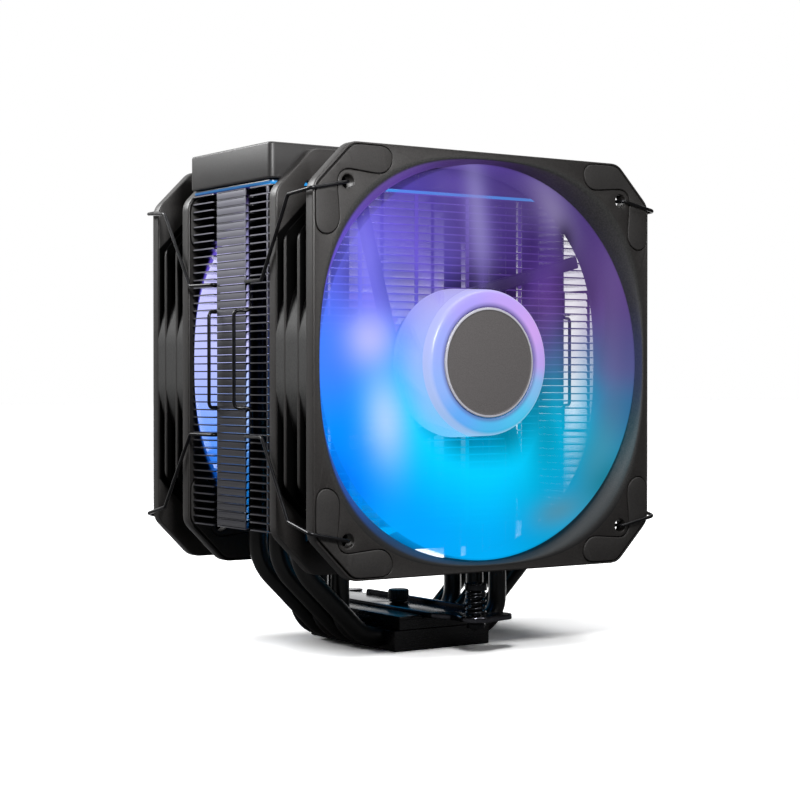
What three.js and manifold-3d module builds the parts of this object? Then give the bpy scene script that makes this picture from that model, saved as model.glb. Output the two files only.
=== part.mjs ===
// CPU tower cooler with two fans, in millimetres, +Z up. The origin is the centre of the contact
// face under the base. +X is to the right and +Y to the rear, seen from the front fan.
import * as THREE from "three";
import { mergeVertices } from "three/addons/utils/BufferGeometryUtils.js";
import Module from "manifold-3d";

const wasm = await Module();
wasm.setup();

// Clearances and shared allowances
const seatGap = 0.3; // between pieces that touch or pass through each other
const overrun = 1; // how far a cutting tool runs past the faces it cuts

// Places of the main groups
const fanBottomHeight = 26.3; // of both frames, over the contact face
const fanSpacing = 51; // from the front fan's rear face to the rear fan's front face

// Fan frame
const fanSize = 129;
const fanDepth = 25;
const frameCornerCut = 13;
const frameEdgeRadius = 2.5;
const flangeThickness = 4.2;
const ribThickness = 1.2;
const ribCornerCut = 27.5;
const frontRibSetback = 7.8;
const rearRibSetback = 15.4;
const mouthInset = 2.2; // from the frame's side to the duct's mouth
const throatInset = 3.2;
const mouthDepth = 6;
const drumWall = 3.7; // round the duct, cut off flush where it meets the frame's sides
const screwInset = 12; // from the frame's side to a hole's centre
const screwHoleDiameter = 4.3;
const frameSides = 28;
const motorSeatSides = 16;

// Motor seat of the frame
const motorCupDiameter = 42;
const motorCupThickness = 3.5;
const strutWidth = 4;
const strutThickness = 3;
const strutOffset = 19; // from the fan axis to a strut's middle line
const strutTilt = THREE.MathUtils.degToRad(15);
const strutCount = 4;
const bearingTubeWall = 1.2;
const bearingWall = 2.1;
const shaftDiameter = 3;

// Rubber pads of the flanges
const padMargin = 0.9;
const padReach = 28.2; // from the frame's square corner to the end of a lobe
const padLobeDiameter = 8.6;
const padHoleWall = 1.85; // frame left round the screw hole
const padThickness = 1.6;
const padProud = 0.3;
const padLobeSteps = 2;
const padLobeStartShare = 0.5; // of a half turn, as the other shares of this outline
const padLobeEndShare = 1.45;
const padHollowStartShare = 0.6;
const padHollowEndShare = -0.1;

// Rotor
const hubDiameter = 45;
const hubSetback = 0.6;
const hubRearInset = 5.5; // from the frame's rear face to the hub's rear edge
const hubFlare = 1; // how much wider the hub is at its rear edge, on the radius
const hubWall = 1.8;
const hubSides = 20;
const capDiameter = 34;
const capThickness = 1;
const bladeCount = 9;
const bladeTipGap = 1;
const bladeThickness = 1.5;
const bladeRootFront = 3.6; // behind the frame's front face
const bladeRootRearInset = 6.6; // from the frame's rear face
const bladeTipFront = 8;
const bladeTipRearInset = 5.6;
const bladeRootSpread = THREE.MathUtils.degToRad(33);
const bladeTipSpread = THREE.MathUtils.degToRad(37);
const bladeSweep = THREE.MathUtils.degToRad(15);
const bladeCamberShare = 0.35;
const bladeEdgeThicknessShare = 0.3; // of the full thickness
const bladeEdgeArchShare = 0.1; // of the half wave that thickens the blade, left out at each edge
const bladeRootSinkShare = 0.25; // of the hub's wall
const bladeStations = 2;
const bladeChordSteps = 3;

// Motor
const magnetWall = 2.8;
const magnetRearInset = 2; // inside the hub's rear edge
const airGap = 0.6;
const statorSetback = 7.5;
const statorRearInset = 8.5; // from the frame's rear face
const statorTeeth = 4;
const toothWidth = 5;
const toothTipThickness = 2;
const toothTipSpread = THREE.MathUtils.degToRad(70);
const statorCoreWall = 2;
const bossWall = 2.2;
const bossDepth = 2;
const boardThickness = 1.4;
const boardDiameter = 37;

// Fin stack
const finCount = 44;
const finThickness = 0.4;
const finBottomHeight = 39.3;
const finTopDrop = 11; // from the frames' top to the top fin
const finSideInset = 1.3; // of the fins' side inside the frames' side
const bandWidth = 17.7; // the folded flange that closes the middle of each side
const bandThickness = 0.5;
const grooveWidth = 2.9;
const grooveDepth = 3;

// Heat pipes
const pipeCount = 6;
const pipeDiameter = 6;
const pipeHeight = 4; // of the axes in the base
const pipeTopReach = 5.7; // of the risers over the top fin
const outerRiserInset = 15.2; // from the fins' side to the outer risers' axes
const innerRiserPlace = 29;
const shoulderHeight = 27.4; // where the outer riser's axis would meet the slope's axis
const slopeFoot = 24; // where the slope's axis would meet the axis in the base
const shoulderBend = 16;
const footBend = 12;
const innerBend = 10;
const pipeSides = 8;

// Base
const baseWidth = 37;
const baseDepth = 50;
const baseThickness = 6.4;
const blockInset = 2;
const blockTopHeight = 10.9;
const channelDepth = 1; // of the block's channel that the crossbar lies in
const grooveSides = 12;

// Top cover, light bar and light board
const coverSideInset = 0.5; // of the cover's side inside the frames' side
const coverHeight = 11;
const coverBevel = 1.5;
const coverWall = 1.8;
const lightBarThickness = 1.1;
const lightBarRim = 5.6;
const lightBoardLength = 96;
const lightBoardWidth = 10;
const lightBoardThickness = 1.6;

// Crossbar
const barWidth = 15;
const barThickness = 1.8;
const barNeckWidth = 9;
const barNeckPlace = 35; // from the middle to where the bar has narrowed
const barShoulderPlace = 29;
const barEyeDiameter = 10.8;
const barArmReach = 13.6;
const barArmWidth = 6.4;
const barFlangeHeight = 1.5; // over the bar's top
const barFlangeThickness = 1.2;
const springScrewPlace = 42.6;

// Thumb knob
const knobHeadDiameter = 6.9;
const knobHeadHeight = 3.5;
const knobCollarDiameter = 6.2;
const knobCollarHeight = 0.7;
const knobShankDiameter = 3.8;
const knobShankReach = 2.4; // below the block's top
const knurlCount = 12;
const knurlDepth = 0.3;

// Spring screws, springs and retaining rings
const screwDiameter = 3.2;
const screwHeadDiameter = 7.1;
const screwHeadHeight = 2.2;
const screwSlotWidth = 1.1;
const screwSlotDepth = 1;
const screwTipHeight = 7.5;
const springLength = 7.3;
const springWire = 0.9;
const springDiameter = 6.5; // outside
const springCurls = 3.5;
const springStepsPerCurl = 8;
const springSides = 5;
const ringDiameter = 5.8;
const ringThickness = 1.8;

// Wire clips
const wireDiameter = 1.2;
const wireSides = 4;
const wireBend = 1.6;
const clipSideStandoff = 0.9; // wire axis to the frame's side, over the wire's radius
const clipLegReach = 3; // of the leg into the screw hole
const clipEdgeDrop = 2.7; // how far the wire falls from the hole to the frame's edge
const clipShoulderSetback = 11.5; // from the fan's outer face to the shoulder
const clipShoulderDrop = 4.5; // of the shoulder, from the screw hole's height
const clipWaistHeight = 23.7;
const clipWaistReach = 12.4; // of the level run beside the fins, before the groove
const clipHandleHeight = 15;
const clipHandleReach = 4.8;
const clipHandleLean = 2.4;
const clipGrooveInset = 1.4; // of the wire's axis, inside the fins' side
const stackLift = 1; // of the stack's middle over the fan axes

// Sizes that follow from the driving ones
const frontFaceY = -(fanSpacing / 2 + fanDepth);
const fanCentreHeight = fanBottomHeight + fanSize / 2;
const mouthDiameter = fanSize - mouthInset - mouthInset;
const throatDiameter = fanSize - throatInset - throatInset;
const drumDiameter = throatDiameter + drumWall + drumWall;
const screwSpacing = fanSize - screwInset - screwInset;
const clipShoulderHeight = screwSpacing / 2 - clipShoulderDrop;
const finTopHeight = fanBottomHeight + fanSize - finTopDrop;
const finWidth = fanSize - finSideInset - finSideInset;
const stackClearance = padProud + seatGap; // between the fins and a frame's rear or front face
const finDepth = fanSpacing - stackClearance - stackClearance;
const pipeTopHeight = finTopHeight + pipeTopReach;
const coverWidth = fanSize - coverSideInset - coverSideInset;
const hubDepth = fanDepth - hubSetback - hubRearInset;
const bladeRootRear = fanDepth - bladeRootRearInset;
const bladeTipRear = fanDepth - bladeTipRearInset;
const statorLength = fanDepth - statorSetback - statorRearInset;
const outerRiserPlace = finWidth / 2 - outerRiserInset;
const pipePitch = pipeDiameter + seatGap;
const pipeFieldHalf = (pipeCount * pipePitch) / 2;
const grooveRadius = pipeDiameter / 2 + seatGap;
const barBottomHeight = blockTopHeight - channelDepth + seatGap;
const barTopHeight = barBottomHeight + barThickness;
const coverBottomHeight = finTopHeight + seatGap + lightBarThickness + seatGap;
const coverDepth = fanSpacing - seatGap - seatGap;
const groovePlace = bandWidth / 2 + grooveWidth / 2;

// Finishes
const finish = (color, roughness, metalness) =>
  new THREE.MeshStandardMaterial({ color, roughness, metalness });
const framePlastic = finish(0x24211f, 0.75, 0);
const rubber = finish(0x1c1b1a, 0.9, 0);
const frosted = finish(0x8fa8ff, 0.4, 0);
const capPlastic = finish(0x33302f, 0.5, 0);
const blackMetal = finish(0x17171a, 0.45, 0.6);
const finMetal = finish(0x202025, 0.4, 0.7);
const coverMetal = finish(0x201f1e, 0.6, 0.4);
const steel = finish(0x8a8d92, 0.3, 1);
const darkSteel = finish(0x2a2b2e, 0.35, 0.9);
const lightPlastic = finish(0x58b8ff, 0.3, 0);
const boardGreen = finish(0x1d3a26, 0.6, 0);
const copper = finish(0xb0663a, 0.35, 1);
const bronze = finish(0x8c6a3c, 0.4, 1);

// Solids and meshes

// A closed geometry as a solid that can be joined and cut. A solid is returned as it is.
function solidOf(form) {
  if (!form.isBufferGeometry) {
    return form;
  }
  const geometry = form;
  const plain = new THREE.BufferGeometry();
  const flat = geometry.index ? geometry.toNonIndexed() : geometry;
  plain.setAttribute("position", flat.getAttribute("position"));
  const merged = mergeVertices(plain, 1e-4);
  const { Manifold, Mesh } = wasm;
  return new Manifold(
    new Mesh({
      numProp: 3,
      vertProperties: merged.attributes.position.array,
      triVerts: new Uint32Array(merged.index.array),
    }),
  );
}

// A solid as a geometry with flat faces. A geometry is returned as it is.
function geometryOf(form) {
  if (form.isBufferGeometry) {
    return form;
  }
  const mesh = form.getMesh();
  const geometry = new THREE.BufferGeometry();
  const places = new Float32Array(mesh.vertProperties);
  geometry.setAttribute("position", new THREE.BufferAttribute(places, 3));
  geometry.setIndex(new THREE.BufferAttribute(new Uint32Array(mesh.triVerts), 1));
  const faceted = geometry.toNonIndexed();
  faceted.computeVertexNormals();
  return faceted;
}

const joined = (forms) => forms.map(solidOf).reduce((sum, solid) => sum.add(solid));
const cut = (form, tools) =>
  tools.map(solidOf).reduce((rest, tool) => rest.subtract(tool), solidOf(form));
const common = (form, other) => solidOf(form).intersect(solidOf(other));

// Copies of a form, moved or turned as geometries.
const moved = (form, offset) => geometryOf(form).clone().translate(offset.x, offset.y, offset.z);
const turned = (form, angle) => geometryOf(form).clone().rotateY(angle);
const quarterTurn = Math.PI / 2;

const cooler = new THREE.Group();

// Adds a named piece, given as a geometry or a solid, to a group.
function addPiece(group, name, form, material) {
  const mesh = new THREE.Mesh(geometryOf(form), material);
  mesh.name = name;
  group.add(mesh);
  return mesh;
}

// A block between two opposite corners.
function block(low, high) {
  const size = new THREE.Vector3().subVectors(high, low);
  const middle = new THREE.Vector3().addVectors(low, high).multiplyScalar(0.5);
  const geometry = new THREE.BoxGeometry(size.x, size.y, size.z);
  return geometry.translate(middle.x, middle.y, middle.z);
}

const at = (x, y, z) => new THREE.Vector3(x, y, z);

// An outline in X and Z, carried back along Y from a front plane.
function slabAlongY(shape, frontY, depth, curveSegments = 6) {
  const geometry = new THREE.ExtrudeGeometry(shape, {
    depth,
    bevelEnabled: false,
    curveSegments,
  });
  return geometry.rotateX(quarterTurn).translate(0, frontY + depth, 0);
}

// An outline in X and Y, carried up along Z from a bottom plane.
function slabAlongZ(shape, bottomZ, height, curveSegments = 6) {
  const geometry = new THREE.ExtrudeGeometry(shape, {
    depth: height,
    bevelEnabled: false,
    curveSegments,
  });
  return geometry.translate(0, 0, bottomZ);
}

// A closed profile of [radius, place along Y], turned round the Y axis.
function turnedAboutY(profile, sides) {
  const points = profile.map(([radius, place]) => new THREE.Vector2(radius, place));
  const start = Math.PI / sides;
  return new THREE.LatheGeometry(points, sides, start, 2 * Math.PI);
}

// A closed profile of [radius, height], turned round the Z axis.
function turnedAboutZ(profile, sides) {
  const points = profile.map(([radius, place]) => new THREE.Vector2(radius, place));
  return new THREE.LatheGeometry(points, sides, 0, 2 * Math.PI).rotateX(quarterTurn);
}

// A ring's profile between two radii and two places, or a disc's when the inner radius is zero.
function ringProfile(inner, outer, low, high) {
  return [
    [inner, low],
    [outer, low],
    [outer, high],
    [inner, high],
    [inner, low],
  ];
}

const ringAboutY = (inner, outer, front, rear, sides) =>
  turnedAboutY(ringProfile(inner, outer, front, rear), sides);
const ringAboutZ = (inner, outer, low, high, sides) =>
  turnedAboutZ(ringProfile(inner, outer, low, high), sides);

// A path whose steps fall on given stations, so that straight runs cost no faces.
class StationPath extends THREE.Curve {
  constructor(stations) {
    super();
    this.stations = stations;
  }
  get steps() {
    return this.stations.length - 1;
  }
  getPoint(share) {
    const place = Math.min(share * this.steps, this.steps);
    const first = Math.min(Math.floor(place + 1e-6), this.steps);
    const next = Math.min(first + 1, this.steps);
    const rest = Math.max(place - first, 0);
    return this.stations[first].clone().lerp(this.stations[next], rest);
  }
  getPointAt(share) {
    return this.getPoint(share);
  }
  getTangentAt(share) {
    const here = Math.round(share * this.steps);
    const before = this.stations[Math.max(here - 1, 0)];
    const after = this.stations[Math.min(here + 1, this.steps)];
    const middle = this.stations[here];
    const arriving = middle.clone().sub(before).normalize();
    const leaving = after.clone().sub(middle).normalize();
    return arriving.add(leaving).normalize();
  }
}

// Stations along straight runs between corners, with each corner rounded to its bend radius.
function bentStations(corners, bends, steps) {
  const stations = [corners[0].clone()];
  for (let i = 1; i < corners.length - 1; i += 1) {
    const arriving = corners[i].clone().sub(corners[i - 1]).normalize();
    const leaving = corners[i + 1].clone().sub(corners[i]).normalize();
    const turn = arriving.angleTo(leaving);
    const reach = bends[i - 1] * Math.tan(turn / 2);
    const start = corners[i].clone().addScaledVector(arriving, -reach);
    const inward = leaving.clone().addScaledVector(arriving, -leaving.dot(arriving)).normalize();
    for (let step = 0; step <= steps[i - 1]; step += 1) {
      const angle = (turn * step) / steps[i - 1];
      const along = bends[i - 1] * Math.sin(angle);
      const across = bends[i - 1] * (1 - Math.cos(angle));
      stations.push(start.clone().addScaledVector(arriving, along).addScaledVector(inward, across));
    }
  }
  stations.push(corners[corners.length - 1].clone());
  return stations;
}

// A round rod of few sides along stations.
function rodAlong(stations, diameter, sides) {
  const rim = Array.from({ length: sides }, (_, i) => {
    const angle = (2 * Math.PI * (i + 0.5)) / sides;
    return new THREE.Vector2(Math.cos(angle), Math.sin(angle)).multiplyScalar(diameter / 2);
  });
  const path = new StationPath(stations);
  return new THREE.ExtrudeGeometry(new THREE.Shape(rim), {
    steps: path.steps,
    extrudePath: path,
    bevelEnabled: false,
  });
}

// Fans

// A flange's outline: a square with cut and slightly rounded corners.
function flangeOutline() {
  const half = fanSize / 2;
  const round = frameEdgeRadius;
  const slant = round * Math.SQRT1_2;
  const shape = new THREE.Shape();
  for (const [sx, sz, first] of [
    [1, -1, true],
    [1, 1, false],
    [-1, 1, false],
    [-1, -1, false],
  ]) {
    // Each quarter starts at the corner's end that comes first on the way round.
    const along = sx * sz > 0;
    const a = [half, half - frameCornerCut];
    const b = [half - frameCornerCut, half];
    const place = ([x, z]) => [sx * x, sz * z];
    const corner = (p, straight, diagonal) => [
      place([p[0] + straight[0] * round, p[1] + straight[1] * round]),
      place(p),
      place([p[0] + diagonal[0] * slant, p[1] + diagonal[1] * slant]),
    ];
    const atA = corner(a, [0, -1], [-1, 1]);
    const atB = corner(b, [-1, 0], [1, -1]);
    const turns = along ? [atA, [atB[2], atB[1], atB[0]]] : [atB, [atA[2], atA[1], atA[0]]];
    for (const [index, [from, through, to]] of turns.entries()) {
      if (first && index === 0) {
        shape.moveTo(...from);
      } else {
        shape.lineTo(...from);
      }
      shape.quadraticCurveTo(...through, ...to);
    }
  }
  shape.closePath();
  return shape;
}

// A rib's outline: a square with plain cut corners.
function ribOutline() {
  const half = fanSize / 2;
  const near = half - ribCornerCut;
  const corners = [
    [half, -near],
    [half, near],
    [near, half],
    [-near, half],
    [-half, near],
    [-half, -near],
    [-near, -half],
    [near, -half],
  ];
  return new THREE.Shape(corners.map(([x, z]) => new THREE.Vector2(x, z)));
}

// One strut, from the motor cup to the drum, tangent to the cup.
function strut(index) {
  const reach = Math.sqrt((throatDiameter / 2) ** 2 - strutOffset ** 2);
  const length = reach + (drumDiameter - throatDiameter) / 4;
  const rear = fanDepth;
  const beam = block(
    at(0, rear - strutThickness, strutOffset - strutWidth / 2),
    at(length, rear, strutOffset + strutWidth / 2),
  );
  return beam.rotateY(-strutTilt - (2 * Math.PI * index) / strutCount);
}

// Points along an arc, from one angle to another.
function arcPoints(x, y, radius, from, to, steps) {
  return Array.from({ length: steps + 1 }, (_, i) => {
    const angle = from + ((to - from) * i) / steps;
    return new THREE.Vector2(x + radius * Math.cos(angle), y + radius * Math.sin(angle));
  });
}

// A pad's outline for the upper right corner of the frame, grown by an allowance: two lobes,
// joined round the screw hole.
function padOutline(grow) {
  const edge = fanSize / 2 - padMargin + grow;
  const lobe = padLobeDiameter / 2 + grow;
  const near = fanSize / 2 - padReach + padLobeDiameter / 2;
  const deep = fanSize / 2 - padMargin - padLobeDiameter / 2;
  const hole = screwSpacing / 2;
  const hollow = screwHoleDiameter / 2 + padHoleWall - grow;
  const slant = frameCornerCut - (2 - Math.SQRT2) * grow;
  const start = Math.PI * padLobeStartShare;
  const end = Math.PI * padLobeEndShare;
  const mirrored = (angle) => Math.PI * 2.5 - angle;
  const top = arcPoints(near, deep, lobe, start, end, padLobeSteps);
  const bottom = arcPoints(deep, near, lobe, mirrored(end), mirrored(start), padLobeSteps);
  const hollowStart = Math.PI * padHollowStartShare;
  const hollowEnd = Math.PI * padHollowEndShare;
  const inner = arcPoints(hole, hole, hollow, hollowStart, hollowEnd, padLobeSteps);
  const corner = [new THREE.Vector2(edge, edge - slant), new THREE.Vector2(edge - slant, edge)];
  return new THREE.Shape([...corner, ...top, ...inner, ...bottom]);
}

// A pad's slab for the upper right corner, on the front or the rear flange.
function padSlab(isFront, grow, proud) {
  const depth = padThickness + grow;
  const start = isFront ? -proud : fanDepth - depth + proud;
  return slabAlongY(padOutline(grow), start, depth);
}

// The corners of a frame, each a quarter turn on from the one before.
const cornerNames = ["upper_right", "upper_left", "lower_left", "lower_right"];
const cornerTurn = (index) => -quarterTurn * index;

// The frame: two flanges and two ribs on a drum, with the motor cup on four struts at the rear.
function fanFrame() {
  const half = fanSize / 2;
  const drumRadius = drumDiameter / 2;
  const flange = flangeOutline();
  const rib = ribOutline();
  const square = block(at(-half, 0, -half), at(half, fanDepth, half));
  const walls = joined([
    common(ringAboutY(0, drumRadius, 0, fanDepth, frameSides), square),
    slabAlongY(flange, 0, flangeThickness, 1),
    slabAlongY(flange, fanDepth - flangeThickness, flangeThickness, 1),
    slabAlongY(rib, frontRibSetback, ribThickness, 1),
    slabAlongY(rib, rearRibSetback, ribThickness, 1),
  ]);
  const mouth = mouthDiameter / 2;
  const throat = throatDiameter / 2;
  const duct = turnedAboutY(
    [
      [0, -overrun],
      [mouth, -overrun],
      [mouth, 0],
      [throat, mouthDepth],
      [throat, fanDepth - mouthDepth],
      [mouth, fanDepth],
      [mouth, fanDepth + overrun],
      [0, fanDepth + overrun],
    ],
    frameSides,
  );
  const hole = ringAboutY(0, screwHoleDiameter / 2, -overrun, fanDepth + overrun, 6);
  const corner = [
    moved(hole, at(screwSpacing / 2, 0, screwSpacing / 2)),
    padSlab(true, seatGap, seatGap),
    padSlab(false, seatGap, seatGap),
  ];
  const cornerTools = cornerNames.flatMap((_, i) => corner.map((tool) => turned(tool, cornerTurn(i))));
  const struts = Array.from({ length: strutCount }, (_, i) => strut(i));
  const open = cut(walls, [duct]);
  const seated = joined([open, ...struts, motorSeat()]);
  return cut(seated, cornerTools);
}

const cupFrontY = fanDepth - motorCupThickness;
const bearingRadius = shaftDiameter / 2 + seatGap + bearingWall;
const tubeInner = bearingRadius + seatGap;
const tubeOuter = tubeInner + bearingTubeWall;
const hubInnerFront = hubSetback + capThickness + seatGap + hubWall;
const tubeFrontY = hubInnerFront + bossDepth + seatGap;

// The motor cup and the tube that holds the bearing.
function motorSeat() {
  const cup = motorCupDiameter / 2;
  return turnedAboutY(
    [
      [0, cupFrontY],
      [tubeInner, cupFrontY],
      [tubeInner, tubeFrontY],
      [tubeOuter, tubeFrontY],
      [tubeOuter, cupFrontY],
      [cup, cupFrontY],
      [cup, fanDepth],
      [0, fanDepth],
    ],
    motorSeatSides,
  );
}

// The hub's shell with its cap recess and shaft boss, without blades.
function hubShell() {
  const radius = hubDiameter / 2;
  const rear = hubSetback + hubDepth;
  const recess = capDiameter / 2 + seatGap;
  const recessFloor = hubSetback + capThickness + seatGap;
  const bore = shaftDiameter / 2 + seatGap;
  return turnedAboutY(
    [
      [0, recessFloor],
      [recess, recessFloor],
      [recess, hubSetback],
      [radius, hubSetback],
      [radius + hubFlare, rear],
      [radius + hubFlare - hubWall, rear],
      [radius - hubWall, hubInnerFront],
      [bore + bossWall, hubInnerFront],
      [bore + bossWall, hubInnerFront + bossDepth],
      [bore, hubInnerFront + bossDepth],
      [bore, hubInnerFront],
      [0, hubInnerFront],
    ],
    hubSides,
  );
}

// A point of a blade's middle surface, by its share of the span and of the chord.
// The blade spreads round the axis as it runs back, and sweeps forward towards its tip.
function bladePoint(span, chord, offset) {
  const root = hubDiameter / 2 - hubWall * bladeRootSinkShare;
  const tip = throatDiameter / 2 - bladeTipGap;
  const radius = THREE.MathUtils.lerp(root, tip, span);
  const spread = THREE.MathUtils.lerp(bladeRootSpread, bladeTipSpread, span);
  const front = THREE.MathUtils.lerp(bladeRootFront, bladeTipFront, span);
  const rear = THREE.MathUtils.lerp(bladeRootRear, bladeTipRear, span);
  const fall = chord * (1 - bladeCamberShare) + chord * chord * bladeCamberShare;
  const slope = (1 - bladeCamberShare + 2 * chord * bladeCamberShare) * (rear - front);
  const along = -radius * spread;
  const length = Math.hypot(along, slope);
  const angle = bladeSweep * span * span + spread * (0.5 - chord) - (slope / length) * (offset / radius);
  const back = front + (rear - front) * fall + (along / length) * offset;
  return at(radius * Math.cos(angle), back, radius * Math.sin(angle));
}

// Half a blade's thickness, which falls in an arch towards both edges of the chord.
function bladeHalfThickness(chord) {
  const place = THREE.MathUtils.lerp(bladeEdgeArchShare, 1 - bladeEdgeArchShare, chord);
  const arch = Math.sin(Math.PI * place);
  return (bladeThickness / 2) * THREE.MathUtils.lerp(bladeEdgeThicknessShare, 1, arch);
}

// One blade as a closed skin: the upper side out and the lower side back at each station.
function blade() {
  const loops = Array.from({ length: bladeStations + 1 }, (_, station) => {
    const span = station / bladeStations;
    const chords = Array.from({ length: bladeChordSteps + 1 }, (_, i) => i / bladeChordSteps);
    const half = bladeHalfThickness;
    const upper = chords.map((chord) => bladePoint(span, chord, half(chord)));
    const lower = chords.map((chord) => bladePoint(span, chord, -half(chord)));
    return [...upper, ...lower.reverse()];
  });
  const ring = loops[0].length;
  const positions = loops.flat().flatMap((point) => point.toArray());
  const faces = [];
  for (let station = 0; station < bladeStations; station += 1) {
    for (let i = 0; i < ring; i += 1) {
      const a = station * ring + i;
      const b = station * ring + ((i + 1) % ring);
      faces.push(a, b, a + ring, b, b + ring, a + ring);
    }
  }
  const last = bladeStations * ring;
  for (let i = 0; i < bladeChordSteps; i += 1) {
    const across = ring - 1 - i;
    faces.push(i, across, i + 1, across, across - 1, i + 1);
    faces.push(last + i, last + i + 1, last + across, last + across, last + i + 1, last + across - 1);
  }
  const geometry = new THREE.BufferGeometry();
  geometry.setAttribute("position", new THREE.Float32BufferAttribute(positions, 3));
  geometry.setIndex(faces);
  return geometry;
}

function rotor() {
  const one = blade();
  const blades = Array.from({ length: bladeCount }, (_, i) => turned(one, (2 * Math.PI * i) / bladeCount));
  return joined([hubShell(), ...blades]);
}

// The stator: a core with four teeth, whose tips follow the magnet ring.
function stator() {
  const outer = magnetInner() - airGap;
  const core = tubeOuter + seatGap;
  const front = statorSetback;
  const rear = front + statorLength;
  const half = toothTipSpread / 2;
  const tip = new THREE.Shape();
  tip.absarc(0, 0, outer, -half, half, false);
  tip.absarc(0, 0, outer - toothTipThickness, half, -half, true);
  tip.closePath();
  const teeth = Array.from({ length: statorTeeth }, (_, i) => {
    const reach = outer - toothTipThickness / 2;
    const stem = block(at(core, front, -toothWidth / 2), at(reach, rear, toothWidth / 2));
    const head = slabAlongY(tip, front, statorLength, 1);
    return turned(joined([stem, head]), (2 * Math.PI * i) / statorTeeth);
  });
  const middle = ringAboutY(0, core + statorCoreWall, front, rear, 12);
  const bore = ringAboutY(0, core, front - overrun, rear + overrun, 12);
  return cut(joined([middle, ...teeth]), [bore]);
}

const magnetOuter = () => hubDiameter / 2 - hubWall - seatGap;
const magnetInner = () => magnetOuter() - magnetWall;

// All pieces of one fan, in a group whose origin is the middle of its front face.
function fan(side) {
  const group = new THREE.Group();
  const name = (piece) => side + "_" + piece;
  const shaft = shaftDiameter / 2;
  const recessFloor = hubSetback + capThickness;
  addPiece(group, name("fan_frame"), fanFrame(), framePlastic);
  addPiece(group, name("rotor"), rotor(), frosted);
  const cap = ringAboutY(0, capDiameter / 2, hubSetback, recessFloor, hubSides);
  addPiece(group, name("hub_cap"), cap, capPlastic);
  const magnetFront = hubInnerFront + seatGap;
  const magnetRear = hubSetback + hubDepth - magnetRearInset;
  const magnet = ringAboutY(magnetInner(), magnetOuter(), magnetFront, magnetRear, hubSides);
  addPiece(group, name("magnet_ring"), magnet, darkSteel);
  const shaftFront = hubInnerFront + seatGap;
  const shaftRear = cupFrontY - seatGap;
  addPiece(group, name("rotor_shaft"), ringAboutY(0, shaft, shaftFront, shaftRear, 10), steel);
  const bearing = ringAboutY(shaft + seatGap, bearingRadius, tubeFrontY + seatGap, shaftRear, 12);
  addPiece(group, name("bearing_sleeve"), bearing, bronze);
  addPiece(group, name("stator"), stator(), copper);
  const boardRear = cupFrontY - seatGap;
  const board = ringAboutY(
    tubeOuter + seatGap,
    boardDiameter / 2,
    boardRear - boardThickness,
    boardRear,
    12,
  );
  addPiece(group, name("motor_board"), board, boardGreen);
  for (const [index, corner] of cornerNames.entries()) {
    const front = addPiece(group, name("pad_front_" + corner), padSlab(true, 0, padProud), rubber);
    const rear = addPiece(group, name("pad_rear_" + corner), padSlab(false, 0, padProud), rubber);
    front.rotation.y = cornerTurn(index);
    rear.rotation.y = cornerTurn(index);
  }
  return group;
}

// Fin stack, cover and lights

const pipeRow = Array.from({ length: pipeCount }, (_, i) => (i - (pipeCount - 1) / 2) * pipePitch);
const outerSide = (index) => (index % 2 === 0 ? -1 : 1);

// The slots that let one row of risers pass: those on one side, outer or inner.
function riserRow(side, isOuter) {
  const rows = pipeRow.filter((_, i) => (outerSide(i) === side) === isOuter);
  const middle = side * (isOuter ? outerRiserPlace : innerRiserPlace);
  return {
    left: middle - grooveRadius,
    right: middle + grooveRadius,
    front: Math.min(...rows) - grooveRadius,
    rear: Math.max(...rows) + grooveRadius,
  };
}

// A fin's outline: a rectangle with two clip grooves in each side.
function finOutline() {
  const side = finWidth / 2;
  const end = finDepth / 2;
  const deep = side - grooveDepth;
  const near = bandWidth / 2;
  const far = near + grooveWidth;
  const quarter = [
    [side, near],
    [deep, near],
    [deep, far],
    [side, far],
    [side, end],
  ];
  const mirrored = (sx, sy) => quarter.map(([x, y]) => [sx * x, sy * y]);
  const points = [
    ...mirrored(1, 1),
    ...mirrored(-1, 1).reverse(),
    ...mirrored(-1, -1),
    ...mirrored(1, -1).reverse(),
  ];
  return new THREE.Shape(points.map(([x, y]) => new THREE.Vector2(x, y)));
}

// The four slots of a fin, as cutting tools through its thickness.
function riserSlots() {
  return [-1, 1].flatMap((side) =>
    [true, false].map((isOuter) => {
      const { left, right, front, rear } = riserRow(side, isOuter);
      return block(at(left, front, -overrun), at(right, rear, finThickness + overrun));
    }),
  );
}

// The stack: equal fins, held at their pitch by the folded flanges in the middle of each side.
function finStack() {
  const fin = geometryOf(cut(slabAlongZ(finOutline(), 0, finThickness), riserSlots()));
  const pitch = (finTopHeight - finThickness - finBottomHeight) / (finCount - 1);
  const level = (index) => finBottomHeight + index * pitch;
  const fins = Array.from({ length: finCount }, (_, i) => moved(fin, at(0, 0, level(i))));
  const side = finWidth / 2;
  const bands = [-1, 1].map((sign) => {
    const faces = [sign * side, sign * (side - bandThickness)].sort((a, b) => a - b);
    return block(
      at(faces[0], -bandWidth / 2, finBottomHeight),
      at(faces[1], bandWidth / 2, finTopHeight),
    );
  });
  return joined([...bands, ...fins]);
}

// An upright rectangle's outline in X and Y with bevelled corners.
function bevelledRectangle(width, depth, bevel) {
  const x = width / 2;
  const y = depth / 2;
  const corners = [
    [x, y - bevel],
    [x - bevel, y],
    [bevel - x, y],
    [-x, y - bevel],
    [-x, bevel - y],
    [bevel - x, -y],
    [x - bevel, -y],
    [x, bevel - y],
  ];
  return new THREE.Shape(corners.map(([a, b]) => new THREE.Vector2(a, b)));
}

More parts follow.
